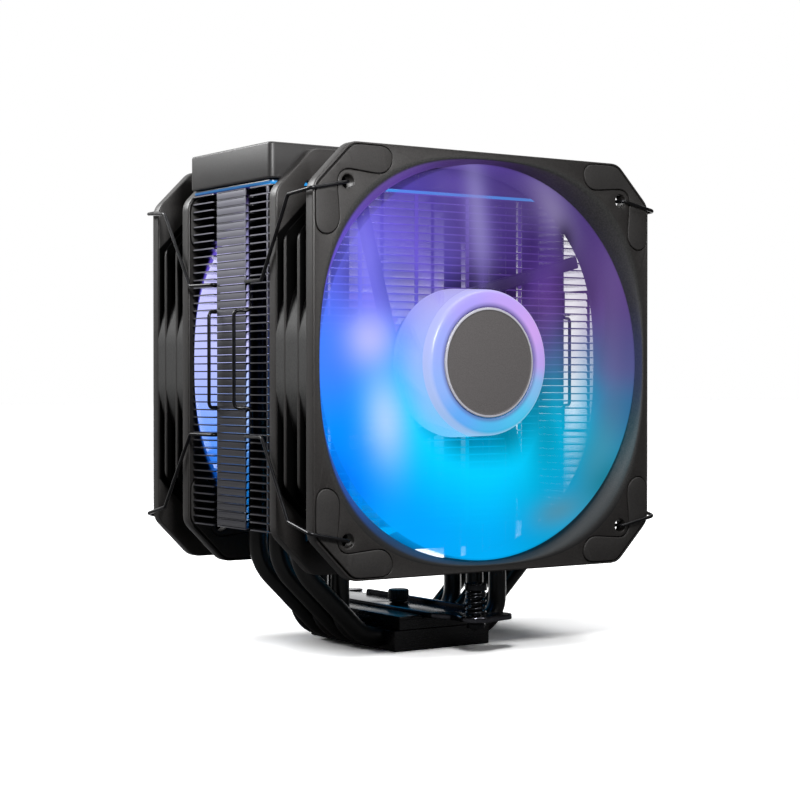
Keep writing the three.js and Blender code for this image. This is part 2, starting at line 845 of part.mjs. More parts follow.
// The cover: a bevelled box, open below.
function topCover() {
  const top = coverBottomHeight + coverHeight;
  const wall = coverWall + coverWall;
  const outer = slabAlongZ(
    bevelledRectangle(coverWidth, coverDepth, coverBevel),
    coverBottomHeight,
    coverHeight,
  );
  const hollow = slabAlongZ(
    bevelledRectangle(coverWidth - wall, coverDepth - wall, coverBevel),
    coverBottomHeight - overrun,
    top - coverWall - coverBottomHeight + overrun,
  );
  return cut(outer, [hollow]);
}

// The light bar: a flat frame that shows as a thin line under the cover.
function lightBar() {
  const low = finTopHeight + seatGap;
  const rim = lightBarRim + lightBarRim;
  const outer = slabAlongZ(
    bevelledRectangle(coverWidth - coverBevel, coverDepth - coverBevel, coverBevel),
    low,
    lightBarThickness,
  );
  const windowDepth = pipeFieldHalf + pipeFieldHalf + seatGap;
  const window = slabAlongZ(
    bevelledRectangle(coverWidth - coverBevel - rim, windowDepth, coverBevel),
    low - overrun,
    lightBarThickness + overrun + overrun,
  );
  return cut(outer, [window]);
}

function lightBoard() {
  const top = coverBottomHeight + coverHeight - coverWall - seatGap;
  return block(
    at(-lightBoardLength / 2, -lightBoardWidth / 2, top - lightBoardThickness),
    at(lightBoardLength / 2, lightBoardWidth / 2, top),
  );
}

// Heat pipes and base

// One pipe: an outer riser with a sloped shoulder on one side, a straight inner riser on the other.
function heatPipe(index) {
  const side = outerSide(index);
  const y = pipeRow[index];
  const corners = [
    at(side * outerRiserPlace, y, pipeTopHeight),
    at(side * outerRiserPlace, y, shoulderHeight),
    at(side * slopeFoot, y, pipeHeight),
    at(-side * innerRiserPlace, y, pipeHeight),
    at(-side * innerRiserPlace, y, pipeTopHeight),
  ];
  const stations = bentStations(corners, [shoulderBend, footBend, innerBend], [2, 2, 3]);
  return rodAlong(stations, pipeDiameter, pipeSides);
}

// The grooves of all pipes along the base, as cutting tools.
function pipeGrooves() {
  return pipeRow.map((y) => {
    const length = baseWidth + overrun + overrun;
    const tool = new THREE.CylinderGeometry(grooveRadius, grooveRadius, length, grooveSides);
    return tool.rotateZ(quarterTurn).translate(0, y, pipeHeight);
  });
}

// The plate under the pipes. Its margins rise to the parting line in front of and behind them.
function basePlate() {
  const x = baseWidth / 2;
  const y = baseDepth / 2;
  const plate = block(at(-x, -y, 0), at(x, y, baseThickness));
  const field = block(
    at(-x - overrun, -pipeFieldHalf - seatGap, pipeHeight),
    at(x + overrun, pipeFieldHalf + seatGap, baseThickness + overrun),
  );
  return cut(plate, [field, ...pipeGrooves()]);
}

const knobBoreRadius = knobShankDiameter / 2 + seatGap;

// The block over the pipes, with a channel for the crossbar and a blind hole for the thumb knob.
function baseBlock() {
  const x = baseWidth / 2 - blockInset;
  const y = baseDepth / 2 - seatGap;
  const low = baseThickness + seatGap;
  const cap = block(at(-x, -y, low), at(x, y, blockTopHeight));
  const comb = block(
    at(-x, -pipeFieldHalf + seatGap, pipeHeight + seatGap),
    at(x, pipeFieldHalf - seatGap, low + overrun),
  );
  const hole = ringAboutZ(0, knobBoreRadius, knobShankBottom() - seatGap, blockTopHeight + overrun, 12);
  const half = barWidth / 2 + seatGap;
  const channel = block(
    at(-half, -y - overrun, blockTopHeight - channelDepth),
    at(half, y + overrun, blockTopHeight + overrun),
  );
  return cut(joined([cap, comb]), [hole, channel, ...pipeGrooves()]);
}

const knobShankBottom = () => blockTopHeight - knobShankReach;

// Crossbar, knob and spring screws

// The bar's outline from above: broad in the middle, necked to an eye and an arm at each end.
function barOutline() {
  const wide = barWidth / 2;
  const neck = barNeckWidth / 2;
  const eye = barEyeDiameter / 2;
  const arm = barArmWidth / 2;
  const end = springScrewPlace;
  const sway = Math.asin(neck / eye);
  const rear = [
    [wide, barShoulderPlace],
    [neck, barNeckPlace],
    [neck, end - arm],
    [barArmReach, end - arm],
    [barArmReach, end],
    [barArmReach - arm, end + arm],
    [eye * Math.SQRT1_2, end + arm],
    [0, end + eye],
    [-eye * Math.SQRT1_2, end + eye * Math.SQRT1_2],
    [-eye * Math.cos(Math.PI / 8), end + eye * Math.sin(Math.PI / 8)],
    [-neck, end - eye * Math.cos(sway)],
    [-neck, barNeckPlace],
    [-wide, barShoulderPlace],
  ];
  const front = rear.map(([x, y]) => [x, -y]).reverse();
  const points = [...rear, ...front].map(([x, y]) => new THREE.Vector2(x, y));
  return new THREE.Shape(points);
}

// The crossbar, with a stiffening flange along its right edge.
function crossbar() {
  const plate = slabAlongZ(barOutline(), barBottomHeight, barThickness);
  const wide = barWidth / 2;
  const flange = block(
    at(wide - barFlangeThickness, -barShoulderPlace, barBottomHeight),
    at(wide, barShoulderPlace, barTopHeight + barFlangeHeight),
  );
  const low = barBottomHeight - overrun;
  const high = barTopHeight + overrun;
  const eye = ringAboutZ(0, screwDiameter / 2 + seatGap, low, high, 12);
  const eyes = [-1, 1].map((sign) => moved(eye, at(0, sign * springScrewPlace, 0)));
  const middle = ringAboutZ(0, knobBoreRadius, low, high, 12);
  return cut(joined([plate, flange]), [middle, ...eyes]);
}

// The knob: a knurled head and a collar on a shank.
function thumbKnob() {
  const shank = knobShankDiameter / 2;
  const collar = knobCollarDiameter / 2;
  const seat = barTopHeight + seatGap;
  const shoulder = seat + knobCollarHeight;
  const top = shoulder + knobHeadHeight;
  const rim = Array.from({ length: 2 * knurlCount }, (_, i) => {
    const radius = knobHeadDiameter / 2 - (i % 2) * knurlDepth;
    const angle = (Math.PI * i) / knurlCount;
    return new THREE.Vector2(radius * Math.cos(angle), radius * Math.sin(angle));
  });
  const head = slabAlongZ(new THREE.Shape(rim), shoulder - seatGap, top - shoulder + seatGap);
  return joined([
    ringAboutZ(0, shank, knobShankBottom(), seat + seatGap, 12),
    ringAboutZ(0, collar, seat, shoulder, 12),
    head,
  ]);
}

const springBottom = barTopHeight + seatGap;
const headBottom = springBottom + springLength + seatGap;

// A spring screw: a slotted head on a plain shank.
function springScrew() {
  const top = headBottom + screwHeadHeight;
  const shank = ringAboutZ(0, screwDiameter / 2, screwTipHeight, headBottom + overrun, 8);
  const head = ringAboutZ(0, screwHeadDiameter / 2, headBottom, top, 12);
  const reach = screwHeadDiameter / 2 + overrun;
  const slot = block(
    at(-reach, -screwSlotWidth / 2, top - screwSlotDepth),
    at(reach, screwSlotWidth / 2, top + overrun),
  );
  return cut(joined([shank, head]), [slot]);
}

// The retaining ring under the bar, which holds screw and spring in place.
function retainingRing() {
  const top = barBottomHeight - seatGap;
  return ringAboutZ(screwDiameter / 2 + seatGap, ringDiameter / 2, top - ringThickness, top, 12);
}

// The helix of a spring, from its lowest station up.
function springStations() {
  const radius = (springDiameter - springWire) / 2;
  const low = springBottom + springWire / 2;
  const rise = springLength - springWire;
  const count = springCurls * springStepsPerCurl;
  return Array.from({ length: count + 1 }, (_, i) => {
    const angle = (2 * Math.PI * i) / springStepsPerCurl;
    return at(radius * Math.cos(angle), radius * Math.sin(angle), low + (rise * i) / count);
  });
}

const spring = () => rodAlong(springStations(), springWire, springSides);

// The least gap between one curl of the spring and the next, measured on its stations.
function springGap() {
  const stations = springStations();
  const apart = stations.slice(springStepsPerCurl / 2).flatMap((upper, i) =>
    stations.slice(0, i + 1).map((lower) => upper.distanceTo(lower)),
  );
  return Math.min(...apart) - springWire;
}

// Wire clips

// One clip's route, for the front left. signX is 1 on the right, signY is 1 at the rear.
function clipStations(signX, signY) {
  const hole = screwSpacing / 2;
  const radius = wireDiameter / 2;
  const face = fanSpacing / 2 + fanDepth;
  const out = face + padProud + seatGap + radius;
  const side = fanSize / 2 + clipSideStandoff + radius;
  const waist = fanSize / 2 + seatGap + radius;
  const beside = finWidth / 2 + seatGap + radius;
  const inGroove = finWidth / 2 - clipGrooveInset;
  const handle = inGroove + clipHandleReach;
  const half = [
    [hole, face - clipLegReach, hole],
    [hole, out, hole],
    [side, out, hole - clipEdgeDrop],
    [side, face - clipShoulderSetback, clipShoulderHeight + stackLift],
    [waist, groovePlace + clipWaistReach, clipWaistHeight + stackLift],
    [beside, groovePlace, clipWaistHeight + stackLift],
    [inGroove, groovePlace, clipWaistHeight + stackLift],
    [inGroove, groovePlace, clipHandleHeight + stackLift],
    [handle, groovePlace - clipHandleLean, clipHandleHeight + stackLift],
  ];
  const mirrored = half.map(([x, y, z], i) => [x, y, i < 3 ? -z : 2 * stackLift - z]).reverse();
  const corners = [...half, ...mirrored].map(([x, y, z]) =>
    at(signX * x, signY * y, fanCentreHeight + z),
  );
  const bends = corners.slice(1, -1).map(() => wireBend);
  const steps = corners.slice(1, -1).map(() => 1);
  // The short step into the groove has room for a tighter bend only.
  const tight = wireBend / 2;
  for (const index of [4, 5, 10, 11]) {
    bends[index] = tight;
  }
  return bentStations(corners, bends, steps);
}

function buildCooler() {
  const base = new THREE.Group();
  addPiece(base, "base_plate", basePlate(), blackMetal);
  addPiece(base, "base_block", baseBlock(), blackMetal);
  for (let i = 0; i < pipeCount; i += 1) {
    addPiece(base, "heat_pipe_" + (i + 1), heatPipe(i), blackMetal);
  }
  addPiece(base, "crossbar", crossbar(), darkSteel);
  addPiece(base, "thumb_knob", thumbKnob(), darkSteel);
  for (const [end, sign] of [
    ["front", -1],
    ["rear", 1],
  ]) {
    const fastening = new THREE.Group();
    addPiece(fastening, end + "_spring_screw", springScrew(), darkSteel);
    addPiece(fastening, end + "_spring", spring(), darkSteel);
    addPiece(fastening, end + "_retaining_ring", retainingRing(), darkSteel);
    fastening.position.y = sign * springScrewPlace;
    base.add(fastening);
  }
  const stack = new THREE.Group();
  addPiece(stack, "fin_stack", finStack(), finMetal);
  addPiece(stack, "top_cover", topCover(), coverMetal);
  addPiece(stack, "light_bar", lightBar(), lightPlastic);
  addPiece(stack, "light_board", lightBoard(), boardGreen);
  const frontFan = fan("front");
  frontFan.position.set(0, frontFaceY, fanCentreHeight);
  const rearFan = fan("rear");
  rearFan.position.set(0, fanSpacing / 2, fanCentreHeight);
  const clips = new THREE.Group();
  for (const [name, sx, sy] of [
    ["front_left", -1, -1],
    ["front_right", 1, -1],
    ["rear_left", -1, 1],
    ["rear_right", 1, 1],
  ]) {
    const rod = rodAlong(clipStations(sx, sy), wireDiameter, wireSides);
    addPiece(clips, name + "_clip", rod, darkSteel);
  }
  cooler.add(base, stack, frontFan, rearFan, clips);
  console.log("least gap between spring curls: " + springGap().toFixed(2) + " mm");
}

buildCooler();

export default cooler;
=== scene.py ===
"""CPU tower cooler with two lit fans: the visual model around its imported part.

Lengths are in millimetres until a mesh is made, which turns them into metres. +X is to the right
and +Y to the rear, seen from the front fan, and +Z is up. The origin is the middle of the contact
face under the base. A fan's own depth runs back from its front face, and its height from its axis.
"""

from __future__ import annotations

import logging
import math
from dataclasses import dataclass, field
from enum import Enum
from typing import Any, Sequence

import bpy
import numpy as np
from mathutils import Euler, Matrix
from mathutils.geometry import delaunay_2d_cdt

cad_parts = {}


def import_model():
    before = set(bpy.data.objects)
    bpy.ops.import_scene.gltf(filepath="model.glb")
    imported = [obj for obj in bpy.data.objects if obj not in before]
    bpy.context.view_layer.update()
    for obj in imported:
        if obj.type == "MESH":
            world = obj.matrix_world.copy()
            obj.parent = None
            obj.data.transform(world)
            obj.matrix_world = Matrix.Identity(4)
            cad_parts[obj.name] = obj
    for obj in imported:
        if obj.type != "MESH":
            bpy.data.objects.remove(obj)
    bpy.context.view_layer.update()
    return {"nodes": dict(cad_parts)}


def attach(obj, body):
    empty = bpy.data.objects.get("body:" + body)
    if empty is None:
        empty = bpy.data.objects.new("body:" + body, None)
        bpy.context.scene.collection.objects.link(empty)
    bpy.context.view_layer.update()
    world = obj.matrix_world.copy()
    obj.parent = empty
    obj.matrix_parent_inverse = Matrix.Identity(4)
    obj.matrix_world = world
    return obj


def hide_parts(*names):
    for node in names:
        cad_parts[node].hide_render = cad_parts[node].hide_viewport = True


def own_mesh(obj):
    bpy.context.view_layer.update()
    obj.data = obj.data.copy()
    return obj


MM = 0.001
SEAT_GAP = 0.3
LOG = logging.getLogger("tower_cooler")


# Outlines and paths


def unit(vectors: np.ndarray) -> np.ndarray:
    """The vectors, each divided by its length."""
    return vectors / np.maximum(np.linalg.norm(vectors, axis=-1, keepdims=True), 1e-12)


def arc(centre: Sequence[float], radius: float, start: float, end: float, steps: int) -> np.ndarray:
    """Points of a circle's arc: centre plus radius times (cosine, sine) of evenly spaced angles.

    Args:
        centre: the circle's middle.
        radius: its radius.
        start: first angle, in degrees.
        end: last angle, in degrees.
        steps: number of equal steps.

    Returns:
        An array of steps + 1 points.
    """
    angles = np.radians(np.linspace(start, end, steps + 1))
    return np.array(centre) + radius * np.stack([np.cos(angles), np.sin(angles)], -1)


def circle(radius: float, steps: int, centre: Sequence[float] = (0.0, 0.0)) -> np.ndarray:
    """A closed circle's points, anticlockwise, without the repeated last one."""
    return arc(centre, radius, 0, 360, steps)[:-1]


def rounded(corners: Any, radii: Any, steps: int = 4, closed: bool = True) -> np.ndarray:
    """A polyline with its corners turned on arcs, in two or three dimensions.

    Each arc leaves the arriving side a tangent's length before the corner, and its points are
    start + along * r * sin(a) + inward * r * (1 - cos(a)), for a from zero to the whole turn.

    Args:
        corners: the corner points.
        radii: one radius, or one for each corner that is turned.
        steps: steps on each arc.
        closed: whether the last corner joins the first.

    Returns:
        The points of the smooth line.
    """
    points = np.asarray(corners, float)
    before, here, after = np.roll(points, 1, 0), points, np.roll(points, -1, 0)
    if not closed:
        before, here, after = points[:-2], points[1:-1], points[2:]
    arriving, leaving = unit(here - before), unit(after - here)
    facing = np.clip((arriving * leaving).sum(1), -1, 1)
    turn = np.arccos(facing)
    radius = np.broadcast_to(np.asarray(radii, float), turn.shape)
    start = here - arriving * (radius * np.tan(turn / 2))[:, None]
    inward = unit(leaving - arriving * facing[:, None])
    angle = turn[:, None] * np.linspace(0, 1, steps + 1)
    along = (radius[:, None] * np.sin(angle))[..., None] * arriving[:, None]
    across = (radius[:, None] * (1 - np.cos(angle)))[..., None] * inward[:, None]
    line = (start[:, None] + along + across).reshape(-1, points.shape[1])
    if not closed:
        line = np.concatenate([points[:1], line, points[-1:]])
    apart = np.linalg.norm(np.diff(line, axis=0, append=line[:1]), axis=1)
    return line[(apart > 1e-4) | (~np.array(closed) & (np.arange(len(line)) == len(line) - 1))]


def softened(outline: np.ndarray, passes: int) -> np.ndarray:
    """A closed outline whose points are averaged with their neighbours, a quarter each, in passes."""
    for _ in range(passes):
        outline = (np.roll(outline, 1, 0) + 2 * outline + np.roll(outline, -1, 0)) / 4
    return outline


def resampled(outline: np.ndarray, count: int) -> np.ndarray:
    """A closed outline with its points spread evenly along its length."""
    ring = np.concatenate([outline, outline[:1]])
    reach = np.concatenate([[0], np.cumsum(np.linalg.norm(np.diff(ring, axis=0), axis=1))])
    places = np.linspace(0, reach[-1], count, endpoint=False)
    return np.stack([np.interp(places, reach, ring[:, axis]) for axis in range(2)], -1)


def anticlockwise(outline: np.ndarray) -> np.ndarray:
    """The closed outline, turned round if its enclosed area is negative."""
    x, y = outline.T
    area = (x * np.roll(y, -1) - y * np.roll(x, -1)).sum()
    return outline if area > 0 else outline[::-1]


def inset(outline: np.ndarray, distance: float) -> np.ndarray:
    """A closed outline moved to its left by a distance, along the mitre of its two sides."""
    before = unit(outline - np.roll(outline, 1, 0))
    after = unit(np.roll(outline, -1, 0) - outline)
    left = np.stack([-(before + after)[:, 1], (before + after)[:, 0]], -1)
    return outline + distance * left / (1 + (before * after).sum(1))[:, None]


# Skins


def grid_faces(rows: int, columns: int, wrap_rows: bool, wrap_columns: bool) -> np.ndarray:
    """Four-sided faces over a grid of points that is stored row by row."""
    row = np.arange(rows if wrap_rows else rows - 1)[:, None]
    column = np.arange(columns if wrap_columns else columns - 1)[None, :]
    next_row, next_column = (row + 1) % rows, (column + 1) % columns
    corners = [
        row * columns + column,
        row * columns + next_column,
        next_row * columns + next_column,
        next_row * columns + column,
    ]
    return np.stack(corners, -1).reshape(-1, 4)


@dataclass
class Skin:
    """Points in millimetres, four-cornered faces, and a two-number mark on each point.

    A triangle is a face whose last two corners are the same point.
    """

    points: np.ndarray
    faces: np.ndarray
    marks: np.ndarray | None = None

    @classmethod
    def of(cls, parts: Sequence[Skin]) -> Skin:
        """One skin that holds all the parts."""
        starts = np.cumsum([0] + [len(part.points) for part in parts[:-1]])
        marks = [p.marks if p.marks is not None else np.zeros((len(p.points), 2)) for p in parts]
        return cls(
            np.concatenate([part.points for part in parts]),
            np.concatenate([part.faces + start for part, start in zip(parts, starts)]),
            np.concatenate(marks) if any(p.marks is not None for p in parts) else None,
        )

    def moved(self, x: float = 0.0, y: float = 0.0, z: float = 0.0) -> Skin:
        """The skin, shifted."""
        return Skin(self.points + np.array([x, y, z]), self.faces, self.marks)

    def turned(self, degrees: float, axis: str = "Y") -> Skin:
        """The skin, turned about an axis through the origin."""
        matrix = np.array(Euler([math.radians(degrees) * (axis == name) for name in "XYZ"]).to_matrix())
        return Skin(self.points @ matrix.T, self.faces, self.marks)

    def upright(self) -> Skin:
        """The skin with its height laid along Y and its second direction along Z."""
        return Skin(self.points[:, [0, 2, 1]], self.faces, self.marks).outward()

    def sideways(self) -> Skin:
        """The skin with its height laid along X and its two directions along Y and Z."""
        return Skin(self.points[:, [2, 0, 1]], self.faces, self.marks).outward()

    def outward(self) -> Skin:
        """The closed skin with its faces out: turned round where its signed volume is negative."""
        a, b, c, d = (self.points[self.faces[:, corner]] for corner in range(4))
        volume = (a * np.cross(b, c)).sum() + (a * np.cross(c, d)).sum()
        return self if volume > 0 else Skin(self.points, self.faces[:, ::-1], self.marks)

    def welded(self) -> Skin:
        """The skin with points at one place made one, and faces without area left out."""
        keys = np.round(self.points, 4)
        _, first, place = np.unique(keys, axis=0, return_index=True, return_inverse=True)
        faces = place.reshape(-1)[self.faces]
        a, b, c, d = faces.T
        faces = np.where((a == b)[:, None], np.stack([b, c, d, d], -1), faces)
        a, b, c, d = faces.T
        faces = np.where((b == c)[:, None], np.stack([a, c, d, d], -1), faces)
        a, b, c, d = faces.T
        faces = np.where((d == a)[:, None], np.stack([a, b, c, c], -1), faces)
        a, b, c, _ = faces.T
        kept = (a != b) & (b != c) & (c != a)
        marks = None if self.marks is None else self.marks[first]
        return Skin(self.points[first], faces[kept], marks)


def lathe(profile: np.ndarray, sides: int) -> Skin:
    """A closed profile turned round Z: (r cos a, r sin a, h) for each profile point (r, h).

    Args:
        profile: a closed loop of (radius, height).
        sides: number of steps round the axis.

    Returns:
        The closed skin.
    """
    angles = np.linspace(0, 2 * np.pi, sides, endpoint=False)
    radii = np.broadcast_to(profile[:, :1], (len(profile), sides))
    heights = np.broadcast_to(profile[:, 1:], radii.shape)
    points = np.stack([radii * np.cos(angles), radii * np.sin(angles), heights], -1)
    return Skin(points.reshape(-1, 3), grid_faces(len(profile), sides, True, True)).outward()


def capped(rings: np.ndarray, marks: np.ndarray | None = None) -> Skin:
    """Closed rings of points joined in order, with a fan of faces over each end.

    Args:
        rings: an array of stations, points and coordinates.
        marks: a two-number mark for each point of each ring.

    Returns:
        The closed skin.
    """
    stations, sides, _ = rings.shape
    ends = rings[[0, -1]].mean(1)
    points = np.concatenate([rings.reshape(-1, 3), ends])
    here = np.arange(sides)
    after = (here + 1) % sides
    low, high = stations * sides, stations * sides + 1
    start = np.stack([here, np.full(sides, low), np.full(sides, low), after], -1)[:, [0, 1, 3, 3]]
    finish = (stations - 1) * sides + np.stack([after, here, here, here], -1)
    finish[:, 2:] = high
    faces = np.concatenate([grid_faces(stations, sides, False, True), start[:, ::-1], finish[:, ::-1]])
    if marks is not None:
        marks = np.concatenate([marks.reshape(-1, 2), marks[[0, -1]].mean(1)])
    return Skin(points, faces, marks).outward()


def swept(path: np.ndarray, section: np.ndarray, reference: Sequence[float] = (0.37, 0.48, 0.795)) -> Skin:
    """A closed section carried along a path, square to it.

    At each station the section's first direction is the tangent crossed with the reference, and
    its second is the first crossed with the tangent.

    Args:
        path: the stations.
        section: the closed outline, in the plane square to the path.
        reference: a direction that the path is never parallel to.

    Returns:
        The closed skin.
    """
    tangents = unit(np.gradient(path, axis=0))
    tangents[0], tangents[-1] = unit(path[1] - path[0]), unit(path[-1] - path[-2])
    side = unit(np.cross(tangents, np.array(reference)))
    up = np.cross(side, tangents)
    rings = path[:, None] + section[None, :, :1] * side[:, None] + section[None, :, 1:] * up[:, None]
    return capped(rings)


def filled(loops: Sequence[np.ndarray]) -> tuple[np.ndarray, np.ndarray]:
    """Triangles inside a first loop and outside the loops within it.

    Args:
        loops: closed outlines in a plane, the outer one first.

    Returns:
        The points, and triangles that run anticlockwise.
    """
    edges, start = [], 0
    for loop in loops:
        here = np.arange(len(loop))
        edges.append(np.stack([here, (here + 1) % len(loop)], -1) + start)
        start += len(loop)
    flat, links = np.concatenate(loops), np.concatenate(edges)
    found = delaunay_2d_cdt(flat.tolist(), links.tolist(), [], 0, 1e-6)
    points = np.array([list(point) for point in found[0]])
    triangles = np.array(found[2])
    a, b, c = (points[triangles[:, corner]] for corner in range(3))
    middle = (a + b + c) / 3
    p, q = flat[links[:, 0]], flat[links[:, 1]]
    x, y = middle[:, :1], middle[:, 1:]
    rise = np.where(q[:, 1] == p[:, 1], 1e-12, q[:, 1] - p[:, 1])
    cross = (p[:, 0] + (y - p[:, 1]) * (q[:, 0] - p[:, 0]) / rise) > x
    inside = (((p[:, 1] > y) != (q[:, 1] > y)) & cross).sum(1) % 2 == 1
    area = (b - a)[:, 0] * (c - a)[:, 1] - (b - a)[:, 1] * (c - a)[:, 0]
    triangles = np.where((area < 0)[:, None], triangles[:, ::-1], triangles)
    return points, triangles[inside & (np.abs(area) > 1e-9)]


@dataclass(frozen=True)
class Opening:
    """A hole through a plate, or a pocket in its lower or upper face."""

    outline: np.ndarray
    fillet: float = 0.0
    depth: float | None = None
    in_top: bool = False


def plate(outline: np.ndarray, low: float, high: float, fillet: float, openings: Sequence[Opening] = (), steps: int = 3) -> Skin:
    """A flat plate with round edges, holes and pockets.

    Each loop becomes a wall of rings: at an angle a of its fillet the ring is inset by
    f (1 - sin a) and stands f (1 - cos a) from the face. Both faces are filled between the loops.

    Args:
        outline: the plate's outer loop.
        low: height of its lower face.
        high: height of its upper face.
        fillet: radius of its outer edges.
        openings: its holes and pockets.
        steps: steps on each fillet.

    Returns:
        The closed skin.
    """
    parts: list[Skin] = []
    bottom_loops: list[np.ndarray] = []
    top_loops: list[np.ndarray] = []

    def wall(loop: np.ndarray, radius: float, base: float, top: float, ends: tuple[bool, bool]) -> None:
        """Adds a loop's wall, with a fillet at the ends that are marked."""
        angles = np.linspace(0, np.pi / 2, steps + 1) if radius > 0 else np.array([np.pi / 2])
        level = [(radius * (1 - math.sin(a)), base + radius * (1 - math.cos(a))) for a in angles]
        upper = [(away, top - (height - base)) for away, height in level[::-1]]
        lower = level if ends[0] else [(0.0, base)]
        upper = upper if ends[1] else [(0.0, top)]
        rings = [np.column_stack([inset(loop, away), np.full(len(loop), height)]) for away, height in lower + upper]
        parts.append(Skin(np.concatenate(rings), grid_faces(len(rings), len(loop), False, True)))

    def face(loops: Sequence[np.ndarray], height: float, faces_up: bool) -> None:
        """Adds a flat face between loops."""
        points, triangles = filled(loops)
        triangles = triangles if faces_up else triangles[:, ::-1]
        parts.append(Skin(np.column_stack([points, np.full(len(points), height)]), triangles[:, [0, 1, 2, 2]]))

    outer = anticlockwise(outline)
    wall(outer, fillet, low, high, (True, True))
    bottom_loops.append(inset(outer, fillet))
    top_loops.append(inset(outer, fillet))
    for opening in openings:
        loop = anticlockwise(opening.outline)[::-1]
        mouth = inset(loop, opening.fillet)
        if opening.depth is None:
            wall(loop, opening.fillet, low, high, (True, True))
            bottom_loops.append(mouth)
            top_loops.append(mouth)
        elif opening.in_top:
            wall(loop, opening.fillet, high - opening.depth, high, (False, True))
            top_loops.append(mouth)
            face([loop[::-1]], high - opening.depth, True)
        else:
            wall(loop, opening.fillet, low, low + opening.depth, (True, False))
            bottom_loops.append(mouth)
            face([loop[::-1]], low + opening.depth, False)
    face(bottom_loops, low, False)
    face(top_loops, high, True)
    return Skin.of(parts).outward()


def rectangle(width: float, depth: float, radius: float, steps: int = 4) -> np.ndarray:
    """A rectangle about the origin with round corners."""
    x, y = width / 2, depth / 2
    return rounded([[x, -y], [x, y], [-x, y], [-x, -y]], radius, steps)


# Shader maths


def tone(code: str, opacity: float = 1.0) -> tuple[float, float, float, float]:
    """A screen colour such as "#2a6cff" as linear red, green, blue and opacity."""
    screen = np.array([int(code[place : place + 2], 16) / 255 for place in (1, 3, 5)])
    linear = np.where(screen <= 0.04045, screen / 12.92, ((screen + 0.055) / 1.055) ** 2.4)
    return (float(linear[0]), float(linear[1]), float(linear[2]), opacity)


class Term:
    """One output of a material's nodes. Python's operators on it add the Math nodes they mean."""

    def __init__(self, shader: Shader, socket: bpy.types.NodeSocket) -> None:
        """Wraps a socket of a shader."""
        self.shader = shader
        self.socket = socket

    def __add__(self, other: Any) -> Term:
        """This plus other."""
        return self.shader.math("ADD", self, other)

    def __sub__(self, other: Any) -> Term:
        """This less other."""
        return self.shader.math("SUBTRACT", self, other)

    def __rsub__(self, other: Any) -> Term:
        """Other less this."""
        return self.shader.math("SUBTRACT", other, self)

    def __mul__(self, other: Any) -> Term:
        """This times other."""
        return self.shader.math("MULTIPLY", self, other)

    def __truediv__(self, other: Any) -> Term:
        """This over other."""
        return self.shader.math("DIVIDE", self, other)

    def __rtruediv__(self, other: Any) -> Term:
        """Other over this."""
        return self.shader.math("DIVIDE", other, self)

    def __pow__(self, other: Any) -> Term:
        """This to the power of other."""
        return self.shader.math("POWER", self, other)

    def __neg__(self) -> Term:
        """This with its sign changed."""
        return self.shader.math("MULTIPLY", self, -1.0)

    __radd__ = __add__
    __rmul__ = __mul__

    def step(self, low: float, high: float) -> Term:
        """Smoothly from 0 at low to 1 at high, which may be the smaller of the two."""
        settings = {"interpolation_type": "SMOOTHSTEP"}
        if low <= high:
            values = {"Value": self, "From Min": low, "From Max": high}
            return self.shader.out("ShaderNodeMapRange", settings, values)
        values = {"Value": self, "From Min": high, "From Max": low}
        return 1.0 - self.shader.out("ShaderNodeMapRange", settings, values)

    def size(self) -> Term:
        """Its absolute value."""
        return self.shader.math("ABSOLUTE", self)

    def wave(self) -> Term:
        """Its sine."""
        return self.shader.math("SINE", self)

    def most(self, other: Any) -> Term:
        """The larger of this and other."""
        return self.shader.math("MAXIMUM", self, other)


